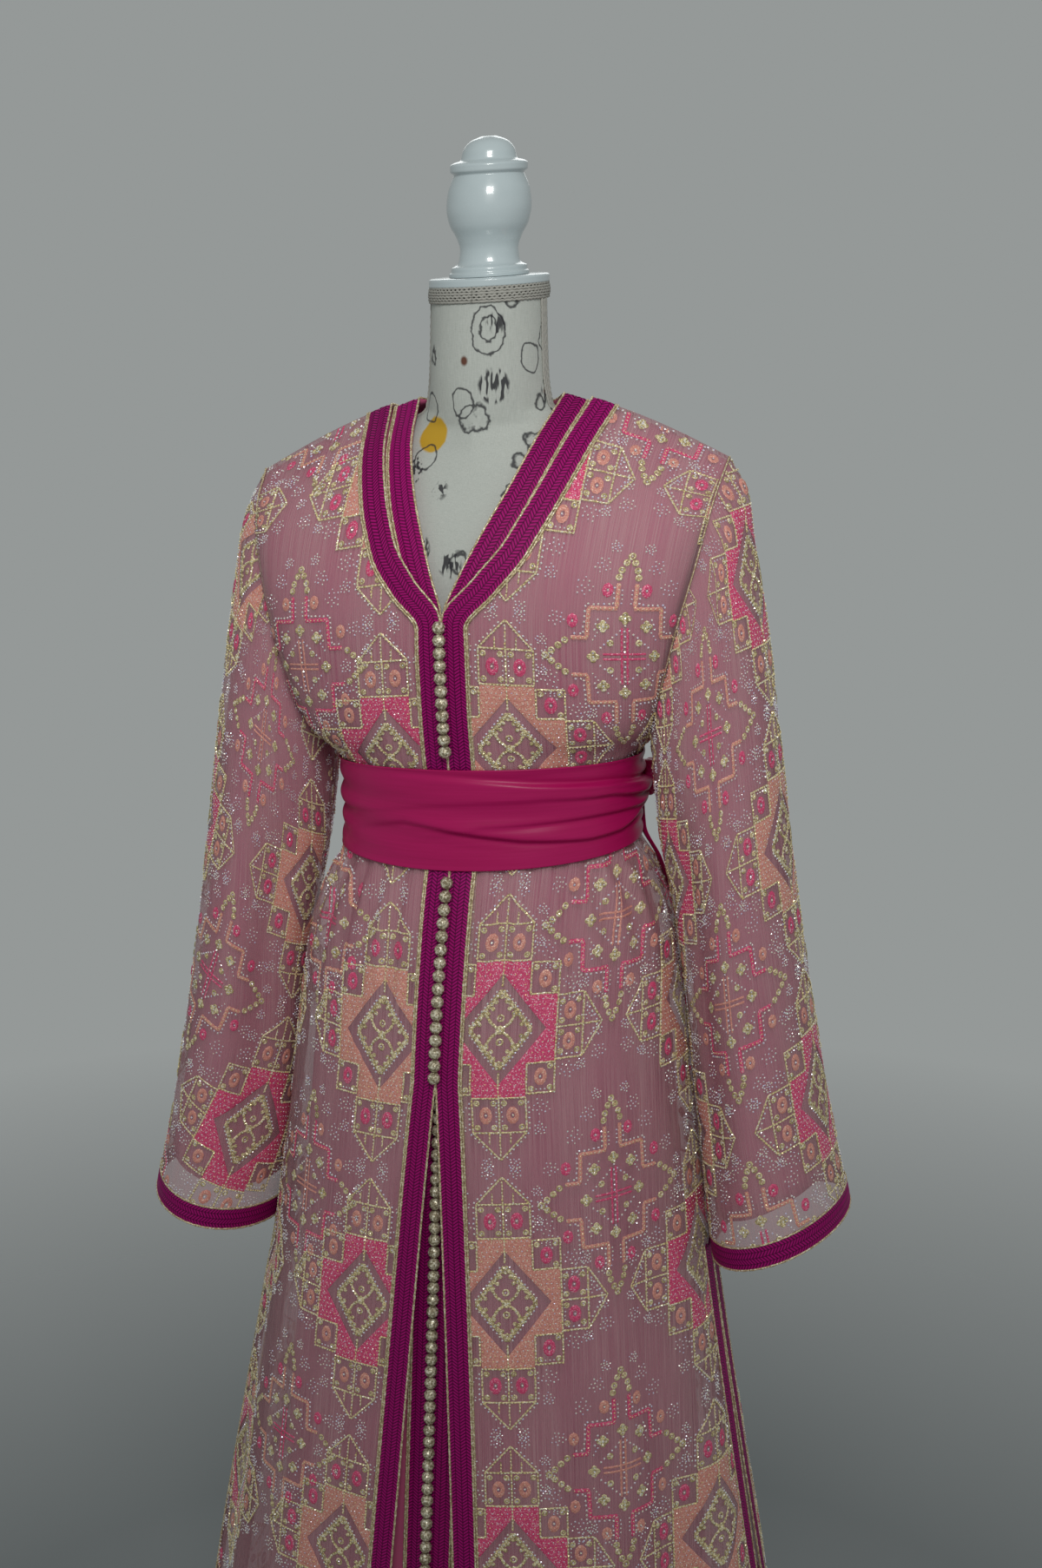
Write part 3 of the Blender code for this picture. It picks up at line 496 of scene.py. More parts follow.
def colouredCloth(name, colour, shade, rough, streak, fleck):
    # a plain cloth with fine streaks along its length and a little unevenness
    made, tree, shader = newMaterial(name, rough, shine=0.25)
    fine = noise(tree, flatPlace(tree, (streak, streak * 0.03, 1)), 1.0, 3.0, 0.6)
    broad = noise(tree, flatPlace(tree, (9, 2.5, 1)), 1.0)
    feed(shader, {"Base Color": mixColour(tree, clamp(fine * 0.7 + broad * 0.6 - 0.15), shade, colour),
                  "Roughness": clamp(rough + (fine - 0.5) * 0.2, 0.2),
                  "Normal": bump(tree, fine, fleck, 0.0006)})
    return made


def sheerCloth(look):
    # crinkled chiffon: the threads crowd in narrow upright ridges and open between them
    made, tree, shader = newMaterial("embroideredChiffon", 0.62, shine=0.2)
    ridge = noise(tree, flatPlace(tree, (1250, 10, 1)), 1.0, 2.0, 0.55)
    broad = noise(tree, flatPlace(tree, (26, 3.0, 1)), 1.0)
    crowd = clamp((ridge - 0.5) * 1.7 + (broad - 0.5) * 0.8 + 0.5)
    feed(shader, {"Base Color": mixColour(tree, crowd, look["hollow"], look["ridge"]),
                  "Alpha": clamp(look["thin"] + crowd * (look["dense"] - look["thin"])),
                  "Roughness": clamp(0.72 - crowd * 0.22, 0.2),
                  "Normal": bump(tree, crowd, 0.45, 0.0006)})
    return made


def goldThread(name, colour, paintedShade, rough, grain, metal):
    # twisted metal thread: painted shade between the turns, with a few painted glints
    made, tree, shader = newMaterial(name, rough, metal)
    fine = noise(tree, objectPlace(tree), grain, 1.0, 0.6)
    broad = noise(tree, objectPlace(tree), grain * 0.12, 1.0)
    glint = clamp((fine - 0.4) * 4.4)
    # the colour runs from the painted shade between the turns to the thread's own colour on them
    shadedMetalTint = mixColour(tree, clamp(glint * 0.85 + broad * 0.3 - 0.1), paintedShade, colour)
    # painted sparks: a few pale glints put into the base colour
    paintedSpark = clamp((fine - 0.62) * 14)
    feed(shader, {"Base Color": mixColour(tree, paintedSpark, shadedMetalTint, (1.0, 0.97, 0.84)),
                  "Roughness": clamp(rough + 0.25 - glint * 0.38, 0.12),
                  "Normal": bump(tree, fine, 0.8, 0.0006)})
    return made


def silkThread(name, colour, shade, glitterGlintColour):
    # the shade colour is painted shade between the stitch lines and in dark pits; the pale flecks are partly
    # metallic glitter and partly painted glints
    made, tree, shader = newMaterial(name, 0.42, shine=0.3)
    lines = noise(tree, objectPlace(tree, (1, 1, 1.6)), 900, 2.0, 0.7)
    fleck = noise(tree, objectPlace(tree), 820, 1.0)
    base = mixColour(tree, clamp((lines - 0.3) * 2.0 + (fleck - 0.5) * 2.0), shade, colour)
    share = clamp((fleck - 0.6) * 10, 0, 0.7)
    feed(shader, {"Base Color": mixColour(tree, share, base, glitterGlintColour), "Metallic": share * 0.5,
                  "Normal": bump(tree, lines, 0.6, 0.0005)})
    return made


def cutBeads(name, tints):
    made, tree, shader = newMaterial(name, 0.19, 0.15)
    tint = noise(tree, objectPlace(tree), 520, 0.0)
    feed(shader, {"Base Color": add(tree, "ShaderNodeValToRGB", {"stops": tints}, {0: tint}),
                  "Coat Weight": clamp(tint, 0.2, 0.9)})
    return made


def braidSilk(look):
    # plaited strands: their slant comes with the flat map, with painted shade where one dives under the next
    made, tree, shader = newMaterial("magentaBraid", 0.52, shine=0.12)
    uv = add(tree, "ShaderNodeUVMap", {"uv_map": "flat"}, {})
    strand, column = ((axisOf(tree, uv, axis) * (math.pi / look[key])).maths("SINE")
                      for axis, key in ((1, "strand"), (0, "column")))
    raised = clamp((strand * strand) * 1.5) * clamp((column * column) * 4.0 + 0.25)
    thread = noise(tree, flatPlace(tree, (1500, 1500, 1)), 1.0, 2.0, 0.6)
    # painted shade in the dips between strands, mixed with the threads' own uneven tone
    share = clamp(raised * 0.85 + (thread - 0.5) * 0.7)
    feed(shader, {"Base Color": mixColour(tree, share, look["under"], look["over"]),
                  "Roughness": clamp(0.66 - thread * 0.3, 0.3),
                  "Normal": bump(tree, thread, 0.5, 0.0004)})
    return made


chiffon = sheerCloth({"hollow": (0.56, 0.29, 0.34), "ridge": (0.72, 0.45, 0.47), "thin": 0.2, "dense": 0.5})
roseCloth = colouredCloth("roseSatin", (0.66, 0.15, 0.29), (0.5, 0.085, 0.2), 0.55, 300, 0.3)
# the third colour of each gold thread is the painted shade between its turns
goldCoil = goldThread("goldCoil", (1.0, 0.87, 0.52), (0.36, 0.27, 0.12), 0.34, 480, 0.15)
goldPiping = goldThread("goldPiping", (0.95, 0.82, 0.53), (0.38, 0.28, 0.15), 0.45, 620, 0.25)
goldKnots = goldThread("goldKnots", (0.95, 0.88, 0.66), (0.24, 0.19, 0.11), 0.34, 480, 0.35)
# each silk's second colour is painted shade, its third the pale flecks of glitter and painted glints
pinkSilk = silkThread("pinkSilk", (0.94, 0.14, 0.29), (0.6, 0.05, 0.15), (0.95, 0.74, 0.78))
peachSilk = silkThread("peachSilk", (0.96, 0.42, 0.36), (0.58, 0.23, 0.18), (0.95, 0.82, 0.62))
beadGlass = cutBeads("cutBeads", [
    (0.3, (0.72, 0.74, 1.0)), (0.38, (1.0, 1.0, 1.0)), (0.46, (0.8, 0.74, 0.92)), (0.52, (1.0, 1.0, 1.0)),
    (0.58, (0.95, 0.9, 0.7)), (0.64, (1.0, 0.96, 0.76)), (0.72, (0.8, 1.0, 0.98))])
beadGold = cutBeads("goldSequins", [(0.36, (1.0, 0.8, 0.36)), (0.46, (1.0, 0.95, 0.66)),
                                    (0.54, (0.86, 0.7, 0.36)), (0.62, (1.0, 0.98, 0.86))])
# under is the painted shade where a strand dives under the next; over is the braid's own colour
magentaBraid = braidSilk({"strand": 0.0029, "column": garment["bandWidth"] / 4,
                          "under": (0.07, 0.001, 0.034), "over": (0.47, 0.007, 0.2)})
magentaSatin = colouredCloth("magentaSatin", (0.53, 0.009, 0.14), (0.35, 0.004, 0.076), 0.36, 500, 0.16)
print("materials made")

# ---- pieces


def ordered(verts):
    return sorted(verts, key=lambda v: (round(v.co.y, 6), round(v.co.x, 6)))


def facesOf(verts):
    return list(dict.fromkeys(face for vert in verts for face in vert.link_faces))


def newPiece(name, made, materials, slotName, nodes=()):
    data = bpy.data.meshes.new(name)
    made.to_mesh(data)
    made.free()
    for material in materials:
        data.materials.append(material)
    data.shade_smooth()
    piece = bpy.data.objects.new(name, data)
    bpy.context.scene.collection.objects.link(piece)
    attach(piece, "root")
    if nodes:
        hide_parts(*nodes)
    return piece


def addGrid(made, points, across, along, outward):
    # a grid laid on these points, with metres across and along as its flat map
    flat = made.loops.layers.uv.get("flat") or made.loops.layers.uv.new("flat")
    rows, columns = points.shape[:2]
    across, along = (np.broadcast_to(field, (rows, columns)) for field in (across, along))
    outward = np.broadcast_to(outward, points.shape)
    fresh = bmesh.ops.create_grid(made, x_segments=columns - 1, y_segments=rows - 1, size=0.5)["verts"]
    verts = ordered(fresh)
    for vert, place in zip(verts, points.reshape(-1, 3)):
        vert.co = place
    where = {vert: (u, v) for vert, u, v in zip(verts, across.ravel(), along.ravel())}
    faces = facesOf(verts)
    for face in faces:
        for loop in face.loops:
            loop[flat].uv = where[loop.vert]
        face.normal_update()
    middle = verts[(rows // 2) * columns + columns // 2]
    middle.normal_update()
    if middle.normal.dot(Vector(outward[rows // 2, columns // 2])) < 0:
        bmesh.ops.reverse_faces(made, faces=faces)


def gridPiece(name, grids, material, slotName, nodes, weld=None, wall=None):
    # a piece of one or more grids, with its meeting edges joined and its wall
    made = bmesh.new()
    for grid in grids:
        addGrid(made, *grid)
    if weld:
        bmesh.ops.remove_doubles(made, verts=made.verts[:], dist=weld)
    piece = newPiece(name, made, [material], slotName, nodes)
    if wall:
        thick = piece.modifiers.new("wall", "SOLIDIFY")
        thick.thickness, thick.offset = wall, -1
    return piece


def clothPiece(title, cloths, material, wall, slotName):
    grids = []
    for cloth in cloths:
        place = np.linspace(0, 1, cloth.points.shape[1])
        across = cloth.start[:, None] + cloth.width[:, None] * place[None, :]
        grids.append((cloth.points, across, cloth.along, cloth.normals))
    pieces[title] = gridPiece(title + "_cloth", grids, material, slotName, [title], 2e-5, wall)


outer, under = layerCloths("outer"), layerCloths("under")
pieces = {}
for name, cloths, *look in (("outer", outer, chiffon, 0.0005, "embroidered_chiffon"),
                            ("under", under, roseCloth, 0.0008, "rose_cloth")):
    for side, hand in hands:
        clothPiece(f"{name}_front_{hand}", [cloths[side, False]], *look)
        clothPiece(f"{name}_sleeve_{hand}", [cloths[side]], *look)
    clothPiece(name + "_back", [cloths[1, True], cloths[-1, True]], *look)
print("cloth pieces made")

# ---- braid bands with gold piping, laid along a line drawn flat on the cut pieces

braid = {"rib": 0.00145, "columns": 8, "slope": 0.0036, "dome": 0.0009, "ribHeight": 0.00055,
         "lift": 0.0002, "pipe": 0.00095, "pipeStep": 0.0016, "pipeSides": 5, "twist": 1.1,
         "pipeIn": 0.0002, "pipeLift": 0.0009, "frontPipeLift": 0.001, "secondPipe": 0.0019,
         "seamPipe": 0.0008}
probe = 0.001    # how far apart two places are read to find the outward side


class Path:
    # a line drawn flat on one or more cut pieces, with the direction in which the band lies from it
    def __init__(self, parts):
        self.parts, self.length = [], 0.0
        for cloth, line, inward in parts:
            arc = runLength(line)
            self.parts.append((cloth, line, inward, arc, self.length))
            self.length += arc[-1]

    def lay(self, s, across, lift):
        # s along, across into the cloth and lift above it, all in metres
        s, across, lift = np.broadcast_arrays(s, across, lift)
        out = np.zeros(s.shape + (3,))
        for cloth, line, inward, arc, begin in self.parts:
            mine = (s >= begin) & ((s < begin + arc[-1]) | (cloth is self.parts[-1][0]))
            at = s[mine] - begin
            flat = readLine(line, arc, at) + across[mine][:, None] * readLine(inward, arc, at)
            out[mine] = cloth.lay(flat[:, 0], flat[:, 1], lift[mine])
        return out


def perpendicular(line, aim):
    # unit directions square to a flat line, turned towards aim
    along = unit(np.gradient(line, axis=0))
    square = np.stack([-along[:, 1], along[:, 0]], -1)
    return square * np.sign((square * np.array(aim)).sum(1))[:, None]


def backNeck(back):
    # the back neck edge on a half back, from the shoulder to the middle
    used = np.flatnonzero(back.start > 1e-4)
    line = np.stack([back.start[used], back.height[used]], -1)[::-1]
    line = np.append(line, [[0.0, back.height[used[0] - 1]]], axis=0)
    arc = runLength(line)
    return soften(readLine(line, arc, np.linspace(0, arc[-1], 60)), 12)


def frontPath(cloths, side):
    # up the front edge and the neck to the shoulder, then along the back neck to its middle
    front, back = cloths[side, False], cloths[side, True]
    sideways, down = np.array([[1.0, 0.0]]), np.array([[0.0, -1.0]])
    line = np.stack([front.start, front.height], -1)
    inward = unit(soften(perpendicular(line, (1, 0.001)), 40))    # it turns more slowly than the line
    top = front.height[-1]
    inward = blend(inward, sideways, ramp(top - 0.05, top, front.height)[:, None])
    neck = backNeck(back)
    share = np.linspace(0, 1, len(neck))[:, None]
    below = blend(sideways, perpendicular(neck, (0.3, -1)), ramp(0, 0.2, share))
    return Path([(front, line, inward), (back, neck, blend(below, down, ramp(0.8, 1, share)))])


def braidPiece(title, path, closed):
    # ribs in chevrons that change direction four times across the band
    columns = np.arange(braid["columns"] + 1)
    count = int(round(path.length / braid["rib"]))
    s = np.linspace(0, path.length, count + 1)[:, None]
    across = np.linspace(0, garment["bandWidth"], len(columns))[None, :]
    along = s - np.abs((columns / braid["columns"] * 4) % 2 - 1) * braid["slope"]
    along = along % path.length if closed else np.clip(along, 0, path.length)
    rib = np.where(np.arange(count + 1) % 2, 1.0, 0.0)[:, None]
    dome = np.sin(np.linspace(0.12, math.pi - 0.12, len(columns)))[None, :] ** 0.5
    split = np.where(columns % 2, 1.0, 0.62)[None, :]
    lift = braid["lift"] + braid["dome"] * dome + braid["ribHeight"] * rib * split
    points = path.lay(along, across, lift)
    outward = points - path.lay(along, across, lift - probe)
    return gridPiece(title + "_braid", [(points, across, s, outward)], magentaBraid, "magenta_braid",
                     [title], 1e-5 if closed else None)


def roundCord(made, centre, outward, radius, sides, twist):
    # a cord through these points; its radius swells and shrinks like twisted threads
    along = unit(np.gradient(centre, axis=0))
    side = unit(np.cross(along, outward))
    up = np.cross(side, along)
    turns = np.linspace(0, 2 * math.pi, sides + 1)
    phase = np.arange(len(centre))[:, None] * twist
    size = radius * (1 + 0.2 * np.cos(turns[None, :] * 2 + phase))
    points = (centre[:, None] + side[:, None] * (np.cos(turns) * size)[..., None]
              + up[:, None] * (np.sin(turns) * size)[..., None])
    before = len(made.verts)
    addGrid(made, points, 0.0, 0.0, points - centre[:, None])
    made.verts.ensure_lookup_table()
    bmesh.ops.remove_doubles(made, verts=made.verts[before:], dist=radius * 0.05)
    made.verts.ensure_lookup_table()
    ends = [edge for edge in made.edges if edge.is_boundary and edge.verts[0].index >= before]
    bmesh.ops.holes_fill(made, edges=ends, sides=sides)


def pipingPiece(name, path, lines):
    made = bmesh.new()
    s = np.linspace(0, path.length, int(path.length / braid["pipeStep"]) + 1)
    for across, lift in lines:
        centre = path.lay(s, across, lift)
        outward = path.lay(s, across, lift + probe) - centre
        roundCord(made, centre, outward, braid["pipe"], braid["pipeSides"], braid["twist"])
    return newPiece(name, made, [goldPiping], "gold_thread")


def trimEdge(title, path, closed=False, second=False):
    # a braid band with piping on both edges, and on the front bands a second cord beyond it
    width, lift = garment["bandWidth"], braid["frontPipeLift" if second else "pipeLift"]
    lines = [(braid["pipeIn"], lift), (width, lift)]
    if second:
        lines.append((width + braid["secondPipe"], braid["pipeLift"]))
    trims[title] = [braidPiece(title, path, closed), pipingPiece(title + "_piping", path, lines)]


trims = {}
frontPaths = {(name, side): frontPath(cloths, side) for name, cloths in (("outer", outer), ("under", under))
              for side, _ in hands}
for (name, side), path in frontPaths.items():
    trimEdge(f"{name}_band_{dict(hands)[side]}", path, second=True)
for side, hand in hands:
    for back, word in ((False, "front"), (True, "back")):
        cloth = outer[side, back]
        low = cloth.height < garment["slitBandTop"]
        line = np.stack([(cloth.start + cloth.width)[low], cloth.height[low]], -1)
        trimEdge(f"slit_band_{word}_{hand}", Path([(cloth, line, perpendicular(line, (-1, 0)))]))
    cloth = outer[side]
    x = np.linspace(-cloth.width[-1] / 2, cloth.width[-1] / 2, 200)
    line = np.stack([x, np.full(len(x), cloth.height[-1])], -1)
    trimEdge(f"cuff_band_{hand}", Path([(cloth, line, np.repeat([[0.0, 1.0]], len(x), 0))]), closed=True)
    # piping over the armhole seam
    made = bmesh.new()
    columns, share = np.linspace(0, 1, cloth.points.shape[1]), np.linspace(0, 1, 330)
    edge, out = (readLine(field[0], columns, share) for field in (cloth.points, cloth.normals))
    thin = braid["seamPipe"]
    roundCord(made, edge + out * thin, out, thin, braid["pipeSides"], braid["twist"])
    trims[f"outer_sleeve_{hand}"] = [newPiece(f"armhole_piping_{hand}", made, [goldPiping], "gold_thread")]
print("bands made")

# ---- knotted ball buttons on the closure

buttons = {"radius": 0.0052, "pitch": 0.0108, "knotDepth": 0.2, "bed": 0.0014}
buttonRows = {"chest": ("closure", outer, "outer", 1.283, 1.163, "outer_buttons_chest"),
              "skirt": ("closure", outer, "outer", 1.06, 0.88, "outer_buttons_skirt"),
              "dress": ("placket", under, "under", 0.868, 0.04, "under_buttons")}


def knottedBall(made, centre, seed):
    # a ball woven from one cord: crossing bulges on a sphere
    for vert in bmesh.ops.create_icosphere(made, subdivisions=3, radius=1.0)["verts"]:
        x, y, z = vert.co
        around = math.atan2(y, x)
        high = math.acos(max(-1.0, min(1.0, z)))
        weave = math.sin(around * 4 + high * 3 + seed) * math.sin(around * 3 - high * 4 + seed * 2)
        size = buttons["radius"] * (1 + buttons["knotDepth"] * (abs(weave) ** 0.6 - 0.45))
        vert.co = Vector(centre) + vert.co * size


for word, (row, cloths, layer, top, bottom, node) in buttonRows.items():
    made = bmesh.new()
    cloth = cloths[1, False]
    for i in range(int((top - bottom) / buttons["pitch"])):
        z = top - buttons["pitch"] * (i + 0.5)
        if z < garment["armZ"]:
            y = -float(smoothRead(sections, "z", layer + "Front", z))
        else:
            y = np.interp(z, cloth.points[:, 0, 2], cloth.points[:, 0, 1])
        knottedBall(made, stand((garment["closureX"], y - buttons["bed"] - buttons["radius"], z)), i * 1.7)
    trims.setdefault(row, []).append(newPiece(word + "_buttons", made, [goldKnots], "gold_thread", [node]))
print("buttons made")

# ---- sash, knot and tail

sash = {"rows": 96, "columns": 230, "lowFront": 1.0635, "lowSide": 1.0705, "highFront": 1.152,
        "highSide": 1.142, "clear": 0.0044, "wall": 0.0012, "crown": 0.0008, "fold": 0.009,
        "knotAngle": 112, "knotZ": 1.112, "slack": 0.13, "dip": 0.55, "dipWide": 0.055}
knot = {"out": 0.0165, "deep": 0.0115, "wide": 0.0165, "high": 0.0185, "pinch": 0.22}
tail = {"top": 1.098, "long": 0.092, "slant": 0.006, "out": 0.009, "wall": 0.001}
# creases over the height of the sash, from the knot round the back and the front to the knot again
creases = [
    {"angle": [-248, -235, -180, -100, -67, -32, -2, 28, 63, 92, 112],
     "up": [0.66, 0.78, 0.86, 0.93, 0.955, 0.955, 0.895, 0.83, 0.79, 0.69, 0.6],
     "strength": [0.9, 0.7, 0.5, 0.3, 0.2, 0.5, 0.75, 0.9, 1.15, 1.1, 0.9],
     "depth": 0.85, "over": -1, "spread": 0.14},
    {"angle": [-248, -220, -150, -70, -40, -12, 7, 33, 63, 92, 112],
     "up": [0.62, 0.66, 0.6, 0.5, 0.55, 0.64, 0.672, 0.685, 0.665, 0.55, 0.54],
     "strength": [0.9, 0.7, 0.4, 0.55, 0.35, 0.3, 0.35, 0.55, 0.85, 1.2, 1.0],
     "depth": 0.8, "over": 1, "spread": 0.1},
    {"angle": [-248, -210, -140, -60, -42, -22, -12, 4, 24, 52, 70, 92, 112],
     "up": [0.55, 0.48, 0.36, 0.26, 0.37, 0.465, 0.43, 0.354, 0.276, 0.225, 0.235, 0.34, 0.48],
     "strength": [0.9, 0.7, 0.4, 0.1, 0.35, 0.5, 0.6, 0.85, 0.9, 0.95, 1.0, 1.1, 1.0],
     "depth": 0.85, "over": 1, "spread": 0.16},
    {"angle": [-248, -190, -120, -40, -10, 10, 33, 57, 86, 112],
     "up": [0.5, 0.25, 0.12, 0.14, 0.35, 0.45, 0.447, 0.44, 0.42, 0.52],
     "strength": [0.9, 0.5, 0.2, 0.05, 0.2, 0.55, 0.8, 0.9, 1.1, 1.0],
     "depth": 0.55, "over": 1, "spread": 0.09},
]


def waistPoint(angle, z, out):
    # on the outer layer's smooth section, moved outwards
    wide, front, back = (smoothRead(sections, "z", "outer" + part, z) for part in ("Wide", "Front", "Back"))
    deep = np.where(np.cos(angle) < 0, back, front)
    normal = unit(np.stack([np.sin(angle) / wide, -np.cos(angle) / deep, 0 * angle], -1))
    point = np.stack([wide * np.sin(angle), -deep * np.cos(angle), z], -1)
    return stand(point + normal * out[..., None]), normal


def sashFolds(angle, up):
    turned = np.degrees(angle)
    turned = np.where(turned > sash["knotAngle"], turned - 360, turned)
    raised = 0 * up
    for crease in creases:
        line = np.interp(turned, crease["angle"], crease["up"])
        line = line + 0.012 * np.sin(angle * 3 + crease["depth"] * 9)
        strength = np.interp(turned, crease["angle"], crease["strength"])
        soft = 0.016 + 0.05 * np.clip(1 - strength, 0, 1)
        away = (up - line) * crease["over"]
        rise = 0.5 + 0.5 * np.tanh((away + 0.3 * soft) / soft)
        roll = np.exp(-np.clip(away, 0, 2) / crease["spread"]) * rise
        dip = sash["dip"] * np.exp(-(np.clip(-away, 0, 2) / sash["dipWide"]) ** 2) * (1 - rise)
        raised = raised + crease["depth"] * strength * (roll - dip)
    # slack between the folds, and the pleats gathered into the knot
    slack = sash["slack"] * np.sin(angle * 5 + up * 9 + 1.1) * np.sin(up * 11 - angle * 2)
    knotted, back, left = (np.exp(-((turned - middle) / wide) ** 2)
                           for middle, wide in ((sash["knotAngle"], 22), (-248, 22), (-74, 15)))
    pleats = (0.5 * np.cos((up - 0.6) * 34) * (knotted + back)
              + 0.3 * np.cos((up - 0.45) * 26 + 0.05 * turned) * left)
    return sash["fold"] * (np.clip(raised, -0.5, 1.3) * 0.75 + pleats * 0.5 + slack)


def sashPiece():
    up, angle = np.meshgrid(np.linspace(0, 1, sash["rows"] + 1),
                            np.linspace(-math.pi, math.pi, sash["columns"] + 1), indexing="ij")
    front = (0.5 + 0.5 * np.cos(angle)) ** 2
    low = sash["lowSide"] + (sash["lowFront"] - sash["lowSide"]) * front
    high = sash["highSide"] + (sash["highFront"] - sash["highSide"]) * front
    edge = np.clip(np.sin(math.pi * np.clip(up, 0.004, 0.996)), 0, 1) ** 0.45
    out = sash["clear"] + edge * (sash["crown"] + sashFolds(angle, up))
    points, normal = waistPoint(angle, low + (high - low) * up, out)
    return gridPiece("sash_band_satin", [(soften(points), up * 0.09, angle * 0.12, normal)], magentaSatin,
                     "magenta_satin", ["sash_band"], 1e-5, sash["wall"])


def knotPiece():
    # a soft wrapped knot: a squashed ball with the folds of the cloth that winds over it
    middle, normal = waistPoint(np.array(math.radians(sash["knotAngle"])), np.array(sash["knotZ"]),
                                np.array(knot["out"]))
    along = np.array([-normal[1], normal[0], 0.0])
    made = bmesh.new()
    made.loops.layers.uv.new("flat")
    for vert in bmesh.ops.create_icosphere(made, subdivisions=5, radius=1.0)["verts"]:
        x, y, z = vert.co
        wrap = abs(math.sin(3.2 * (z + 0.35 * y) + 0.8 * x)) ** 0.7
        pinch = 1 - knot["pinch"] * math.exp(-((y - 0.1) / 0.18) ** 2) * (0.5 + 0.5 * x)
        size = (0.86 + 0.17 * wrap) * pinch
        vert.co = Vector(middle + normal * x * knot["deep"] * size + along * y * knot["wide"] * size
                         + np.array([0, 0, z * knot["high"] * size]))
    return newPiece("sash_knot_satin", made, [magentaSatin], "magenta_satin", ["sash_knot"])


def tailPiece():
    # the free end, folded lengthwise and cut off at a slant
    t, across = np.meshgrid(np.linspace(0, 1, 60), np.linspace(-1, 1, 33), indexing="ij")
    z = tail["top"] - t * (tail["long"] + tail["slant"] * across)
    angle = np.radians(sash["knotAngle"] - 1.0 * t + across * (2.6 + 2.9 * np.sqrt(t)))
    out = tail["out"] * (1 - 0.5 * t) + 0.0016 * (1 - t * 0.4) * np.cos(across * 7.5 + t * 1.2)
    points, normal = waistPoint(angle, z, out)
    return gridPiece("sash_tail_satin", [(points, across * 0.012, t * 0.1, normal)], magentaSatin,
                     "magenta_satin", ["sash_tail"], None, tail["wall"])


pieces["sash"], pieces["knot"], pieces["tail"] = sashPiece(), knotPiece(), tailPiece()
print("sash made")

# ---- the dress form

formSections = {
    "z": [0.8, 0.83, 0.9, 1.0, 1.1, 1.18, 1.25, 1.32, 1.36, 1.385, 1.402, 1.418, 1.432,
          1.446, 1.477, 1.5455],
    "wide": [0.144, 0.15, 0.142, 0.126, 0.113, 0.124, 0.138, 0.15, 0.16, 0.16, 0.15,
             0.126, 0.08, 0.0545, 0.05, 0.048],
    "deep": [0.1, 0.106, 0.103, 0.09, 0.082, 0.09, 0.1, 0.092, 0.077, 0.063, 0.056,
             0.051, 0.049, 0.0485, 0.0485, 0.048],
    "middle": [0.004, 0.004, 0.003, 0.002, 0.0, -0.002, -0.004, -0.005, -0.004, -0.003, -0.002,
               -0.001, 0, 0, 0, 0],
    "square": [2.0, 2.1, 2.1, 2.1, 2.1, 2.1, 2.2, 2.3, 2.1, 1.8, 1.5, 1.2, 1.25, 1.7, 2.0, 2.0],
}
turnings = {
    "finial": {"r": [0.0335, 0.0335, 0.0318, 0.0318, 0.0262, 0.0243, 0.0272, 0.033, 0.0354, 0.0343,
                     0.03, 0.029, 0.0322, 0.0322, 0.0285, 0.0235, 0.0215, 0.015, 0.006],
               "z": [1.5533, 1.556, 1.5575, 1.5605, 1.564, 1.575, 1.585, 1.596, 1.609, 1.621,
                     1.633, 1.6355, 1.6385, 1.643, 1.6455, 1.647, 1.6545, 1.662, 1.6655],
               "node": "form_finial"},
    "cap": {"r": [0.049, 0.0505, 0.0505, 0.049], "z": [1.5458, 1.547, 1.5515, 1.553],
            "node": "form_neck_cap"},
    "base": {"r": [0.16, 0.16, 0.152, 0.04, 0.024, 0.02],
             "z": [0.0, 0.016, 0.022, 0.027, 0.033, 0.048], "node": "form_base"},
    "pole": {"r": [0.0125, 0.0125], "z": [0.0483, 0.7995], "node": "form_pole"},
}
gimp = {"strands": 6, "low": 1.5345, "high": 1.5455, "out": 0.0012, "radius": 0.00115, "step": 0.0022,
        "seam": 0.009, "seamTop": 1.534, "seamLow": 1.405, "loops": 0.0007, "sides": 6,
        "seamAngles": (84, -88), "seamStrands": 4}


def turnedPiece(part, profile, sides=72, softness=4):
    # a body of revolution, with soft curves through the rows of its profile
    index = np.arange(len(profile["r"]))
    fine = np.linspace(0, len(index) - 1, (len(index) - 1) * softness + 1)
    table = {"i": index, "r": profile["r"], "z": profile["z"]}
    r = np.concatenate([[0], smoothRead(table, "i", "r", fine), [0]])[:, None]
    z = smoothRead(table, "i", "z", fine)
    z = np.concatenate([[z[0]], z, [z[-1]]])
    turns = np.linspace(0, 2 * math.pi, sides + 1)
    points = [r * np.sin(turns), -r * np.cos(turns), np.repeat(z[:, None], sides + 1, 1)]
    points = stand(np.stack(points, -1))
    outward = points - np.array([0, 0, z[len(z) // 2]])
    return gridPiece(f"form_{part}_wood", [(points, turns[None] * 0.05, z[:, None], outward)], woodPaint,
                     "white_paint", [profile["node"]], 1e-6)


def formPoint(angle, z, out=0.0):
    wide, deep, middle, square = (smoothRead(formSections, "z", column, z)
                                  for column in ("wide", "deep", "middle", "square"))
    s, c = np.sin(angle), np.cos(angle)
    x = (wide + out) * np.sign(s) * np.abs(s) ** (2 / square)
    y = middle - (deep + out) * np.sign(c) * np.abs(c) ** (2 / square)
    return stand(np.stack([x, y, z + 0 * x], -1))


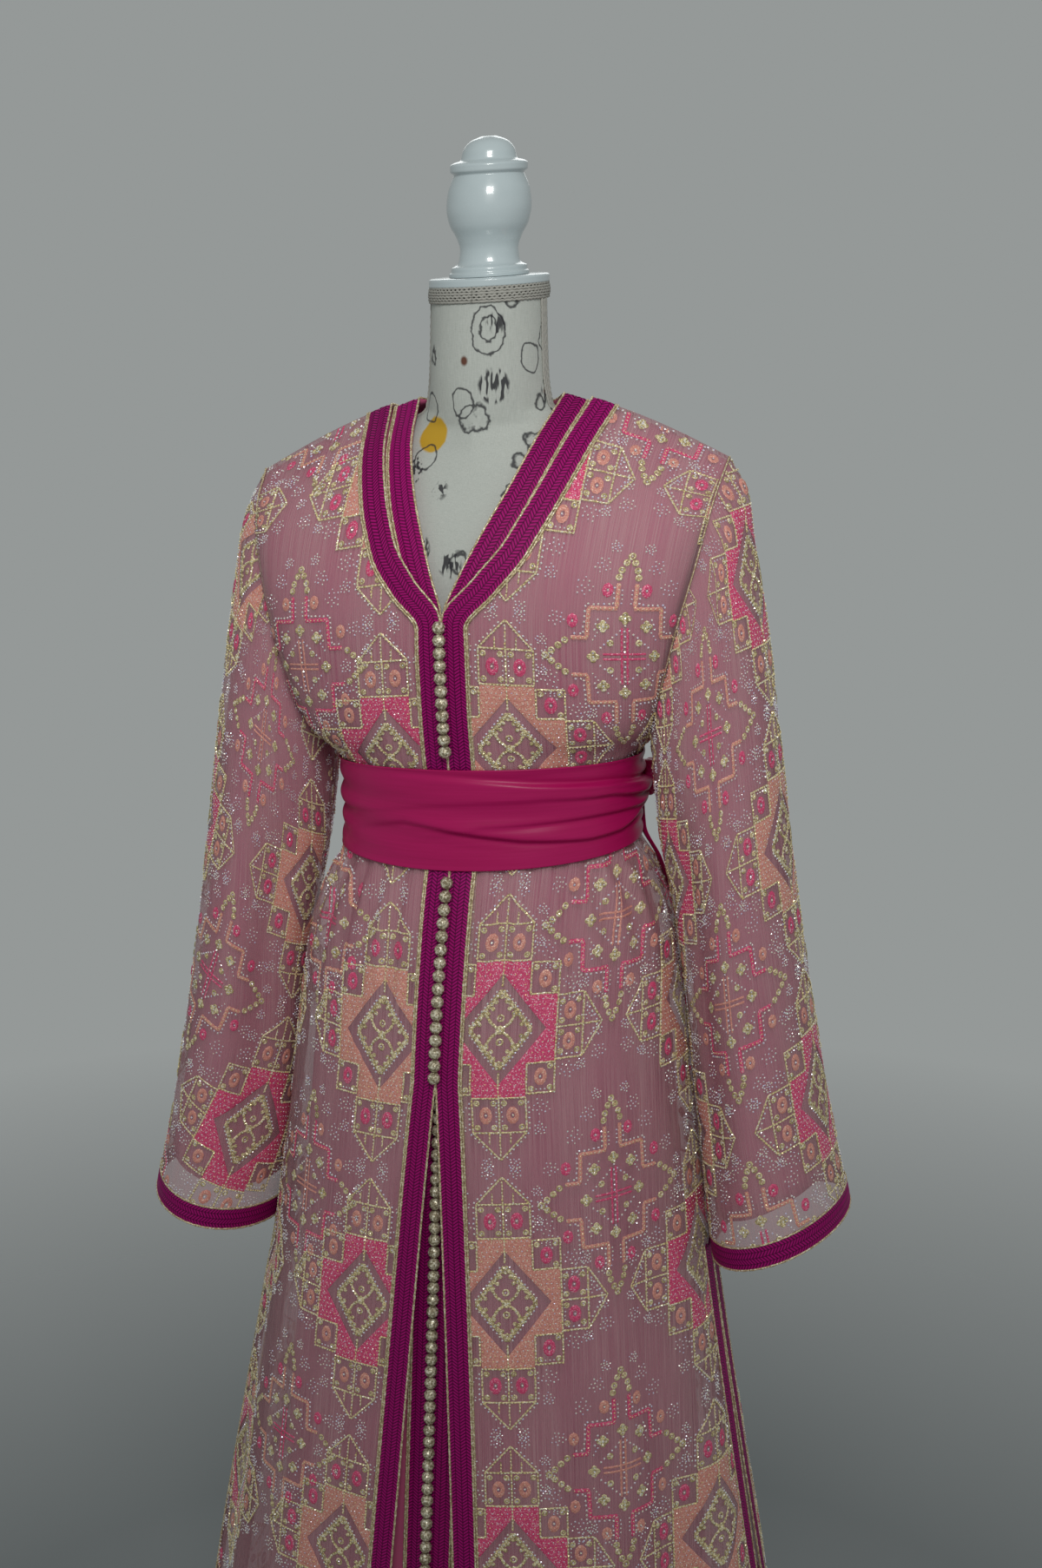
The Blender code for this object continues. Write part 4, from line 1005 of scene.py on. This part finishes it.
def torsoPiece():
    z = np.concatenate([[0.8], np.linspace(0.8, 1.38, 50), np.linspace(1.385, 1.455, 44),
                        np.linspace(1.46, 1.5455, 22), [1.5455]])[:, None]
    turns = np.linspace(0, 2 * math.pi, 97)
    points = formPoint(turns[None, :], z)
    for end in (0, -1):
        points[end] = points[end].mean(0)
    outward = np.stack([np.sin(turns), -np.cos(turns), 0 * turns], -1)
    return gridPiece("form_cover", [(points, turns[None] * 0.1, z, outward[None])], linen, "linen_cover",
                     ["form_torso"], 1e-6)


def gimpPiece():
    # a looped braid round the top of the neck, and the same down both side seams of the cover
    made = bmesh.new()
    look = gimp
    for i in range(look["strands"]):
        share = i / (look["strands"] - 1)
        turns = np.linspace(0, 2 * math.pi, 150)
        swing = look["loops"] * np.sin(turns * 75 + i * 2.1)
        z = look["low"] + (look["high"] - look["low"]) * share + swing
        centre = formPoint(turns, z, look["out"] + 0.0008 * math.sin(math.pi * share))
        outward = np.stack([np.sin(turns), -np.cos(turns), 0 * turns], -1)
        roundCord(made, centre, outward, look["radius"], look["sides"], 1.25 + 0.1 * i)
    for angle in np.radians(look["seamAngles"]):
        for i in range(look["seamStrands"]):
            count = int((look["seamTop"] - look["seamLow"]) / look["step"] * 1.7)
            z = look["seamTop"] + (look["seamLow"] - look["seamTop"]) * np.linspace(0, 1, count) ** 0.8
            aside = (i - 1.5) / 3 * look["seam"] + look["loops"] * 0.5 * np.sin(np.arange(count) * 2.6 + i)
            centre = formPoint(angle + aside / 0.05, z, look["out"] * 0.7)
            outward = np.repeat([[math.sin(angle), -math.cos(angle), 0.4]], count, 0)
            roundCord(made, centre, outward, look["radius"] * 0.9, look["sides"], 1.25 + 0.1 * i)
    return newPiece("form_gimp", made, [gimpCotton], "cream_gimp", ["form_neck_trim"])


linenPrint = {
    "ground": ((0.43, 0.455, 0.42), (0.56, 0.585, 0.545)),
    "rings": [(19, (0.013, 0.0, 0.021), 0.31, 0.15), (19, (0.013, 0.0, 0.021), 0.19, 0.3),
              (27, (0.2, 0.1, 0.33), 0.27, 0.3)],    # scale, shift, radius and share left out
    "ochre": (0.56, 0.33, 0.02), "brown": (0.13, 0.05, 0.03), "ink": (0.03, 0.03, 0.035)}


def linenCloth():
    # woven linen with a sparse made-up print of rings, strokes and ochre spots
    made, tree, shader = newMaterial("printedLinen", 0.85)
    place = objectPlace(tree)
    weft = noise(tree, objectPlace(tree, (1, 1, 22)), 240, 1.0)
    warp = noise(tree, objectPlace(tree, (12, 12, 1)), 130, 1.0)
    weave = (weft + warp) * 0.5
    ground = mixColour(tree, clamp((weave - 0.3) * 2.2), *linenPrint["ground"])

    def spots(scale, shift, picked, scatter=0.55):
        # the distance to scattered points, and whether each one is drawn
        moved = stretched(tree, place, (1, 1, 0.8), shift)
        near, tint = (add(tree, "ShaderNodeTexVoronoi", {},
                          {"Vector": moved, "Scale": scale, "Randomness": scatter}, out) for out in (0, 1))
        return near, axisOf(tree, tint, 0).maths("GREATER_THAN", picked)

    wobble = noise(tree, place, 110) * 0.16
    drawn = None
    for scale, shift, radius, picked in linenPrint["rings"]:
        near, pick = spots(scale, shift, picked)
        rim = (near + wobble - radius - 0.08).maths("ABSOLUTE")
        ring = clamp(1.3 - rim * (1150 / scale)) * pick
        drawn = ring if drawn is None else clamp(drawn + ring)
    near, pick = spots(15, (0.4, 0.3, 0.1), 0.62)
    ochre = clamp((0.27 - near - wobble * 0.4) * 40) * pick
    near, pick = spots(20, (0.7, 0.2, 0.5), 0.25, 0.9)
    stroke = noise(tree, objectPlace(tree, (1, 1, 0.25)), 300, 1.0)
    hatch = clamp((0.34 - near - wobble * 0.4) * 30) * pick * clamp((stroke - 0.49) * 16)
    near, pick = spots(30, (0.1, 0.6, 0.8), 0.5, 0.9)
    blot = clamp((0.16 - near) * 30) * pick
    printed = mixColour(tree, ochre, ground, linenPrint["ochre"])
    printed = mixColour(tree, blot, printed, linenPrint["brown"])
    printed = mixColour(tree, clamp(drawn * 0.9 + hatch * 0.95), printed, linenPrint["ink"])
    feed(shader, {"Base Color": printed, "Roughness": clamp(0.9 - weave * 0.1, 0.5),
                  "Normal": bump(tree, weave, 0.35, 0.0005)})
    return made


def paintedWood():
    made, tree, shader = newMaterial("paintedWood", 0.22)
    broad = noise(tree, objectPlace(tree, (1, 1, 2)), 30, 3.0)
    fine = noise(tree, objectPlace(tree), 240)
    feed(shader, {"Base Color": mixColour(tree, broad, (0.46, 0.535, 0.555), (0.53, 0.61, 0.63)),
                  "Roughness": clamp(0.2 + fine * 0.12, 0.1), "Coat Weight": clamp(0.5 + broad * 0.3),
                  "Normal": bump(tree, broad * 0.7 + fine * 0.3, 0.08, 0.0006)})
    return made


linen, woodPaint = linenCloth(), paintedWood()
gimpCotton = colouredCloth("gimpCotton", (0.48, 0.48, 0.44), (0.29, 0.28, 0.25), 0.7, 900, 0.4)
pieces["cover"], pieces["gimp"] = torsoPiece(), gimpPiece()
for part, profile in turnings.items():
    pieces[part] = turnedPiece(part, profile)
print("dress form made")

# ---- embroidery: motifs drawn flat in millimetres, laid on the cloth by its flat map

stitching = {"step": 2.4, "goldHalf": 0.9, "goldHigh": 1.1, "silkHalf": 2.0, "silkHigh": 0.9, "thin": 0.72,
             "low": 0.1, "ringSteps": 8, "bead": 1.15, "beadHigh": 0.9, "sequin": 1.05, "sequinPitch": 3.0,
             "fillCell": 3.2, "fillHigh": 0.55, "holeWide": 39, "holeHigh": 47, "petal": 2.9}
gold, silk, beads = 0, 1, 2
quarters = [(sx, sy) for sx in (1, -1) for sy in (1, -1)]
beadTurns = np.random.default_rng(7).uniform((-0.5, -0.5, 0), (0.5, 0.5, math.pi), (97, 3))


class Motif:
    # gold, silk and bead work about one centre; silk has two colours, 0 pink and 1 peach
    def __init__(self, draw, main):
        self.made = [bmesh.new() for _ in range(3)]
        self.count = 0
        draw(self, main, 1 - main)
        self.meshes = []
        for made in self.made:
            bmesh.ops.scale(made, vec=(0.001, 0.001, 0.001), verts=made.verts[:])
            data = bpy.data.meshes.new("motif")
            made.to_mesh(data)
            made.free()
            self.meshes.append(data)

    def finish(self, kind, fresh, colour):
        # turn the new faces upwards and give silk its colour
        faces = facesOf(fresh)
        faces[0].normal_update()
        if faces[0].normal.z < 0:
            bmesh.ops.reverse_faces(self.made[kind], faces=faces)
        for face in faces:
            face.material_index = colour

    def strand(self, corners, kind=gold, colour=0, half=None, high=None):
        # a raised line of stitches through these corners, with sequins on gold
        word = "gold" if kind == gold else "silk"
        half, high = half or stitching[word + "Half"], high or stitching[word + "High"]
        corners = np.array(corners, float)
        arc = runLength(corners)
        count = max(2, int(round(arc[-1] / stitching["step"])) + 1)
        line = readLine(corners, arc, np.linspace(0, arc[-1], count))
        along = unit(np.gradient(line, axis=0))
        square = np.stack([-along[:, 1], along[:, 0]], -1)
        pulse = np.where(np.arange(count) % 2, 1.0, stitching["thin"])
        made = self.made[kind]
        fresh = bmesh.ops.create_grid(made, x_segments=2, y_segments=count - 1, size=0.5)["verts"]
        for i, vert in enumerate(ordered(fresh)):
            row, column = divmod(i, 3)
            x, y = line[row] + square[row] * half * (column - 1) * pulse[row]
            vert.co = (x, y, high * pulse[row] if column == 1 else stitching["low"])
        self.finish(kind, fresh, colour)
        if kind == gold:
            self.beadLine(corners, stitching["sequinPitch"], 0.95, stitching["sequin"], 1)

    def ring(self, x, y, rx, ry=None, half=0.9, high=1.0, kind=gold, colour=0, steps=None):
        # a coiled ring, with a bead in the middle of a gold one
        made, low = self.made[kind], stitching["low"]
        roof = ((-half, low), (0, high), (half, low))
        profile = [made.verts.new((rx + across, 0, z)) for across, z in roof]
        edges = [made.edges.new(pair) for pair in zip(profile, profile[1:])]
        bmesh.ops.spin(made, geom=profile + edges, cent=(0, 0, 0), axis=(0, 0, 1), angle=2 * math.pi,
                       steps=steps or stitching["ringSteps"], use_merge=True)
        fresh = {vert for edge in edges for face in edge.link_faces for vert in face.verts}
        seen = set(fresh)
        while fresh:
            fresh = {v for vert in fresh for edge in vert.link_edges for v in edge.verts} - seen
            seen |= fresh
        for vert in seen:
            vert.co.x, vert.co.y = x + vert.co.x, y + vert.co.y * (ry or rx) / rx
        self.finish(kind, seen, colour)
        if kind == gold:
            self.bead(x, y, 0.3, 0.9, self.count % 2)

    def eye(self, x, y, rx, ry, half, high, colour, steps, bead):
        # a silk ring round one bead
        self.ring(x, y, rx, ry, half, high, silk, colour, steps)
        self.bead(x, y, 0.5, bead)

    def flower(self, x, y):
        # four gold rings round a raised bead
        for i in range(4):
            out = stitching["petal"]
            self.ring(x + out * math.cos(i * 1.571), y + out * math.sin(i * 1.571), 1.7)
        self.bead(x, y, 1.0, 1.1)

    def bead(self, x, y, high=0.4, size=None, tint=0):
        size = size or stitching["bead"]
        fresh = bmesh.ops.create_cone(self.made[beads], segments=4, radius1=size, radius2=0, cap_ends=False,
                                      depth=stitching["beadHigh"] * size)["verts"]
        tilt = Euler(beadTurns[self.count % len(beadTurns)]).to_matrix()
        self.count += 1
        for vert in fresh:
            vert.co = Vector((x, y, high + 0.3)) + tilt @ vert.co
        for face in facesOf(fresh):
            face.material_index = tint

    def beadLine(self, corners, pitch, high=0.4, size=None, tint=0):
        corners = np.array(corners, float)
        arc = runLength(corners)
        for x, y in readLine(corners, arc, np.arange(pitch / 2, arc[-1], pitch)):
            self.bead(x, y, high, size, tint)

    def fan(self, x, y, spread, count):
        # a loose round cluster of beads
        for i in range(count):
            out, turn = spread * math.sqrt((i + 0.4) / count), i * 2.4 + x
            self.bead(x + out * math.sin(turn), y + out * math.cos(turn), 0.4, 0.8 + 0.2 * (i % 2))

    def fill(self, colour):
        # the stitched ground round the lozenge, a quarter at a time
        made = self.made[silk]
        wide, tall = stitching["holeWide"], stitching["holeHigh"]
        for sx, sy in quarters:
            for x0, y0, x1, y1 in ((0, 0, 23, 58), (23, 0, 48, 29)):
                across, up = (int(round(size / stitching["fillCell"])) for size in (x1 - x0, y1 - y0))
                fresh = bmesh.ops.create_grid(made, x_segments=across, y_segments=up, size=0.5)["verts"]
                for vert in fresh:
                    vert.co = (sx * (x0 + (vert.co.x + 0.5) * (x1 - x0)),
                               sy * (y0 + (vert.co.y + 0.5) * (y1 - y0)), stitching["fillHigh"])
                edges = dict.fromkeys(edge for vert in fresh for edge in vert.link_edges)
                geom = [*fresh, *edges, *facesOf(fresh)]
                cut = bmesh.ops.bisect_plane(made, geom=geom, dist=1e-4, plane_co=(sx * wide, 0, 0),
                                             plane_no=(sx * tall, sy * wide, 0), clear_inner=True)
                fresh = [part for part in cut["geom"] if isinstance(part, bmesh.types.BMVert)]
                self.finish(silk, fresh, colour)
        bmesh.ops.remove_doubles(made, verts=made.verts[:], dist=0.01)
        for vert in made.verts:
            if vert.is_boundary:
                vert.co.z = stitching["low"]


def mirrored(points, sx, sy):
    return [(sx * x, sy * y) for x, y in points]


def drawMedallion(motif, main, other):
    # a stepped square with a lozenge of gold coils, and a pointed house on each side
    motif.fill(main)
    for sx in (1, -1):
        for line in ([(48, 0), (86, 0)], [(48, -29), (48, 29)], [(71, -27), (71, 27)],
                     [(48, -27), (71, -27), (88, 0), (71, 27), (48, 27)]):
            motif.strand(mirrored(line, sx, 1))
        for line, pitch in (([(51, -24), (69, -24)], 4.5), ([(51, 24), (69, 24)], 4.5),
                            ([(73, -19), (84, 0), (73, 19)], 4.4)):
            motif.beadLine(mirrored(line, sx, 1), pitch)
        for sy in (1, -1):
            for line in ([(24, 29), (24, 55), (48, 55), (48, 29)], [(48, 29), (24, 29)],
                         [(0, 58), (23, 58), (23, 88), (0, 88)], [(23, 88), (0, 112)]):
                motif.strand(mirrored(line, sx, sy))
            motif.strand(mirrored([(0, 0), (8, 6), (15, 18)], sx, sy), half=1.5, high=1.2)
            for x, y in ((11.5, 73), (36, 41), (59, 13)):
                motif.eye(sx * x, sy * y, 3.7, 5.2, 1.8, 1.2, other, 10, 1.2)
            for x, y in ((19, 83.5), (4.5, 83.5), (19, 62.5), (4.5, 62.5), (28, 51), (44, 51), (44, 32.5),
                         (52, 21), (66.5, 21), (52, 5), (66.5, 5)):
                motif.ring(sx * x, sy * y, 1.9)
            for share in np.linspace(0.04, 0.96, 11):
                motif.ring(sx * 26 * share, sy * 33 * (1 - share), 1.6, half=0.8, high=1.1, steps=6)
            for x, y in ((4.5, 24), (11, 14), (18, 5), (7, 18), (20, 8)):
                motif.ring(sx * x, sy * y, 1.4, half=0.7, steps=6)
            motif.beadLine(mirrored([(3, 34), (27, 3)], sx, sy), 4.0)
            # beads in rows on the stitched ground
            for row, y in enumerate(np.arange(2.5, 58, 4.4)):
                for x in np.arange(2.0 + 2.2 * (row % 2), 48, 4.4):
                    outside = x / stitching["holeWide"] + y / stitching["holeHigh"] > 1.03
                    if outside and (x < 22 or y < 28):
                        motif.bead(sx * x + 0.5 * math.sin(x * y), sy * y + 0.4 * math.cos(x + y * 3),
                                   0.75, 0.75, int(x + y) % 3 == 0)
            motif.beadLine(mirrored([(26, 88), (3, 112)], sx, sy), 4.6)
            motif.beadLine(mirrored([(25.5, 60), (25.5, 86)], sx, sy), 4.6)
            for x, y, spread in ((36, 67, 8), (58, 37, 8), (12, 116, 6), (86, 25, 7), (34, 86, 6),
                                 (70, 34, 5)):
                motif.fan(sx * x, sy * y, spread, 14)
            for line, pitch in (([(50.5, 5), (50.5, 22)], 3.6), ([(2.5, 60), (2.5, 86)], 4.0),
                                ([(27, 52), (46, 52)], 3.6)):
                motif.beadLine(mirrored(line, sx, sy), pitch, size=0.9)
    for sy in (1, -1):
        motif.strand(mirrored([(0, 36), (0, 88)], 1, sy))
        for line in ([(0, 88), (0, 109)], [(9, 88), (9, 98)], [(-9, 88), (-9, 98)]):
            motif.strand(mirrored(line, 1, sy), half=0.6)
        motif.ring(0, sy * 10, 2.6)
        motif.ring(0, sy * 29, 2.2)
    motif.ring(0, 0, 3.2)
    motif.bead(0, 0, 0.5, 1.5)


def drawCross(motif, main, other):
    # a hooked lattice round a small cross, with flowers of rings in its arms
    hook = [(7.5, 62), (7.5, 41), (30, 41), (31, 16), (44, 16)]
    inner = [(10.5, 60), (10.5, 44.5), (33, 44), (34, 19.5), (44, 19.5)]
    for sx in (1, -1):
        for sy in (1, -1):
            motif.strand(mirrored(hook, sx, sy), silk, main)
            motif.beadLine(mirrored(inner, sx, sy), 4.2)
            for x, y in ((16, 56), (43, 30)):
                motif.eye(sx * x, sy * y, 3.0, 3.9, 1.7, 1.1, other, 8, 1.1)
            for x, y in ((8, 67), (6.5, 73), (3.5, 79.5), (49, 13.5), (54.5, 9), (60, 4.5), (12, 12)):
                motif.ring(sx * x, sy * y, 2.1, half=1.0)
            motif.flower(sx * 18, sy * 26)
            motif.beadLine(mirrored([(2, 24), (9, 18), (23, 5)], sx, sy), 4.4)
            motif.beadLine(mirrored([(22, 34), (26, 20)], sx, sy), 4.4)
            for x, y, spread in ((22, 76, 7), (56, 32, 7), (35, 58, 8), (68, 13, 5), (14, 92, 5)):
                motif.fan(sx * x, sy * y, spread, 13)
            motif.beadLine(mirrored(hook, sx, sy), 3.6, 0.9, 0.8, 1)
            motif.beadLine(mirrored([(13, 34), (27, 14)], sx, sy), 3.6, size=0.9)
            motif.beadLine(mirrored([(4, 58), (4, 44)], sx, sy), 3.6, size=0.9)
        for y in (2.2, -2.2):
            motif.strand(mirrored([(0, y), (18, y)], sx, 1), silk, other, 1.1)
        motif.ring(sx * 65, 0, 2.4, half=1.0)
        motif.flower(sx * 26, 0)
    for sy in (1, -1):
        for x in (2.4, -2.4):
            motif.strand(mirrored([(x, 0), (x, 25)], 1, sy), silk, other, 1.1)
        motif.ring(0, sy * 85, 2.4, half=1.0)
        motif.flower(0, sy * 33)
        motif.beadLine(mirrored([(0, 2), (0, 28)], 1, sy), 4.5, 0.9)


motifs = {(name, main): Motif(draw, main) for main in (0, 1)
          for name, draw in (("medallion", drawMedallion), ("cross", drawCross))}
clipping = {"edge": 0.0015, "hem": 0.004, "sleeveSeam": 0.004, "bandLap": 0.0004, "cuffLap": 0.0006,
            "sashLap": 0.004, "slitBandTop": garment["slitBandTop"] - 0.003}


def kept(cloth, kind, side, x, y):
    # which flat places show on this piece: not past its edges, under a band or under the sash
    _, place, (up, down, left, right) = cloth.locate(x, y)
    if kind == "sleeve":
        return ((up > garment["bandWidth"] - clipping["cuffLap"]) & (down > clipping["edge"])
                & (place > clipping["sleeveSeam"]) & (place < 1 - clipping["sleeveSeam"]))
    inside = (up > clipping["hem"]) & (np.minimum(down, right) > clipping["edge"]) & (left > -0.0002)
    inside &= (y < sash["lowSide"] + clipping["sashLap"]) | (y > sash["highSide"] - clipping["sashLap"])
    band = garment["bandWidth"] - clipping["bandLap"]
    _, line, inward, _, _ = frontPaths["outer", side].parts[kind == "back"]
    edge = line + inward * band
    if kind == "front":
        edge = edge[np.argsort(line[:, 1] + inward[:, 1] * band)]
        inside &= x > np.interp(y, edge[:, 1], edge[:, 0])
    else:
        edge = edge[np.argsort(edge[:, 0])]
        inside &= y < np.where(x < edge[-1, 0], np.interp(x, edge[:, 0], edge[:, 1]), 3)
    return inside & ((right > band) | (y > clipping["slitBandTop"]))


def embroider(kind, hand, cloth, side, placements, turn=0.0):
    # all motifs copied to their flat places, cut off at the edges and laid on the cloth
    out = []
    for index, word, materials in ((gold, "gold", [goldCoil]), (silk, "silk", [pinkSilk, peachSilk]),
                                   (beads, "beads", [beadGlass, beadGold])):
        made = bmesh.new()
        for name, main, x, y in placements:
            data = motifs[name, main].meshes[index]
            move = Matrix.Translation((x, y, 0)) @ Matrix.Rotation(turn, 4, "Z")
            data.transform(move)
            made.from_mesh(data)
            data.transform(move.inverted())
        places = np.array([vert.co for vert in made.verts])
        inside = kept(cloth, kind, side, places[:, 0], places[:, 1])
        bmesh.ops.delete(made, geom=[vert for vert, good in zip(made.verts, inside) if not good])
        bmesh.ops.delete(made, geom=[vert for vert in made.verts if not vert.link_faces])
        places = np.array([vert.co for vert in made.verts])
        for vert, place in zip(made.verts, cloth.lay(*places.T)):
            vert.co = place
        if cloth.turned != cloth.around:    # flat x and y run the other way round than its outward side
            bmesh.ops.reverse_faces(made, faces=made.faces[:])
        piece = newPiece(f"embroidery_{kind}_{hand}_{word}", made, materials, "embroidered_chiffon")
        if index == beads:
            piece.data.shade_flat()
        out.append(piece)
    trims[f"{kind}_{hand}"] = out


# where the first medallion and cross lie, the columns and rows of the repeat, which colour comes
# first, and how far apart and how turned they are; the right sleeve was cut a little off the grain
repeats = {
    ("front", 1): ((0.054, 1.171), (0.152, 1.017), (-1, 3), (-2, 5), 1),
    ("front", -1): ((0.054, 1.161), (0.135, 1.008), (-1, 3), (-2, 5), 0),
    ("back", 1): ((0.1, 1.166), (0.0, 1.012), (-1, 4), (-2, 5), 1),
    ("back", -1): ((0.1, 1.166), (0.0, 1.012), (-1, 4), (-2, 5), 1),
    ("sleeve", 1): ((-0.014, 1.062), (-0.112, 0.951), (-2, 3), (-2, 3), 1, 0.196, 0.228),
    ("sleeve", -1): ((-0.157, 0.812), (-0.09, 0.954), (-3, 4), (-4, 3), 0, 0.2, 0.242, math.radians(14.5)),
}


def lattices(medallion, cross, columns, rows, first, across=0.2, up=0.239, turn=0.0):
    # medallions and crosses in turn, their colours changing from one to the next
    out = []
    for column in range(*columns):
        for row in range(*rows):
            main = (row + column + first) % 2
            a, b = across * column, -up * row
            for name, colour, (x, y) in (("medallion", main, medallion), ("cross", 1 - main, cross)):
                out.append((name, colour, x + a * math.cos(turn) - b * math.sin(turn),
                            y + a * math.sin(turn) + b * math.cos(turn)))
    return out, turn


for side, hand in hands:
    for kind, cloth in (("front", outer[side, False]), ("back", outer[side, True]), ("sleeve", outer[side])):
        embroider(kind, hand, cloth, side, *lattices(*repeats[kind, side]))
print("cloth embroidered")

# ---- the length and flat area of each sheet of cloth, worked out and not kept


def flatArea(cloths):
    whole = 0.0
    for cloth in cloths:
        across = np.diff(cloth.points, axis=1)[:-1]
        up = np.diff(cloth.points, axis=0)[:, :-1]
        whole += float(np.linalg.norm(np.cross(across, up), axis=-1).sum())
    return whole


def declare(title, cloths, wide):
    length = max(abs(cloth.height[-1] - cloth.height[0]) for cloth in cloths)
    round(flatArea(cloths), 4)


for layer, cloths in (("outer", outer), ("under", under)):
    sheer = layer == "outer"
    for side, hand in hands:
        front, back, sleeve = cloths[side, False], cloths[side, True], cloths[side]
        sewn = [f"{layer}_band_{hand}"] + [f"slit_band_front_{hand}", f"front_{hand}"] * sheer
        sewn += ["closure" if sheer else "placket"] * (side > 0)
        arm = [f"cuff_band_{hand}", f"outer_sleeve_{hand}", f"sleeve_{hand}"] * sheer
        declare(f"{layer}_front_{hand}", [front], max(front.start + front.width))
        declare(f"{layer}_sleeve_{hand}", [sleeve], max(sleeve.width))
    sewn = ["slit_band_back_left", "slit_band_back_right", "back_left", "back_right"] * sheer
    declare(layer + "_back", [cloths[1, True], cloths[-1, True]],
            2 * max(cloths[1, True].start + cloths[1, True].width))

# ---- camera, light and floor

stageLook = {"floor": (0.26, 0.28, 0.285), "floorShade": 0.94, "radius": 2.4, "fadeFrom": 0.75,
             "fadeTo": 2.3, "air": (0.3, 0.318, 0.314), "airStrength": 1.0}
cameraLook = {"lens": 53.85, "distance": 2.0, "height": 1.65, "azimuth": 17, "pitch": -15,
              "aside": 37 / 2700}    # how far the pole stands to one side of the middle, over the lens
lamps = [{"name": "key", "place": (0.6, -1.8, 2.55), "aim": (0.0, 0, 1.47), "size": 0.7, "spread": 66,
          "power": 3.5, "colour": (1.0, 0.99, 0.97)},
         {"name": "rear", "place": (-0.6, 2.2, 2.3), "aim": (0.0, 0, 1.1), "size": 1.2, "spread": 100,
          "power": 2.2, "colour": (0.97, 1.0, 1.0)}]


def paleFloor():
    # a round floor that fades into the plain air round it
    look = stageLook
    made = bmesh.new()
    bmesh.ops.create_circle(made, cap_ends=True, segments=96, radius=look["radius"])
    data = bpy.data.meshes.new("floor")
    made.to_mesh(data)
    made.free()
    plain, tree, shader = newMaterial("floorPaint", 0.9, shine=0.1)
    darker = tuple(look["floorShade"] * c for c in look["floor"])
    x, y = (axisOf(tree, objectPlace(tree), axis) for axis in (0, 1))
    away = (x * x + y * y).maths("SQRT")
    feed(shader, {"Base Color": mixColour(tree, noise(tree, objectPlace(tree), 2.0), darker, look["floor"]),
                  "Alpha": clamp((look["fadeTo"] - away) / (look["fadeTo"] - look["fadeFrom"]))})
    data.materials.append(plain)
    floor = bpy.data.objects.new("floor", data)
    bpy.context.scene.collection.objects.link(floor)


def softLight(look):
    lamp = bpy.data.objects.new(look["name"], bpy.data.lights.new(look["name"], "AREA"))
    lamp.data.size, lamp.data.energy, lamp.data.color = look["size"], look["power"], look["colour"]
    lamp.data.spread = math.radians(look["spread"])
    lamp.location = look["place"]
    lamp.rotation_euler = (Vector(look["aim"]) - Vector(look["place"])).to_track_quat("-Z", "Y").to_euler()
    bpy.context.scene.collection.objects.link(lamp)


def placeCamera():
    look = cameraLook
    around, pitch = math.radians(look["azimuth"]), math.radians(look["pitch"])
    camera = bpy.data.objects.new("camera", bpy.data.cameras.new("camera"))
    camera.data.sensor_width, camera.data.lens = 36, look["lens"]
    camera.location = (look["distance"] * math.sin(around), -look["distance"] * math.cos(around),
                       look["height"])
    turn = around - math.atan(look["aside"] * math.cos(pitch))
    camera.rotation_euler = (math.radians(90) + pitch, 0, turn)
    bpy.context.scene.collection.objects.link(camera)
    bpy.context.scene.camera = camera


paleFloor()
placeCamera()
for lamp in lamps:
    softLight(lamp)
world = bpy.data.worlds.new("studio")
bpy.context.scene.world = world
world.use_nodes = True
world.node_tree.nodes["Background"].inputs[0].default_value = (*stageLook["air"], 1)
world.node_tree.nodes["Background"].inputs[1].default_value = stageLook["airStrength"]
bpy.context.scene.view_settings.view_transform = "Standard"
print("stage made")
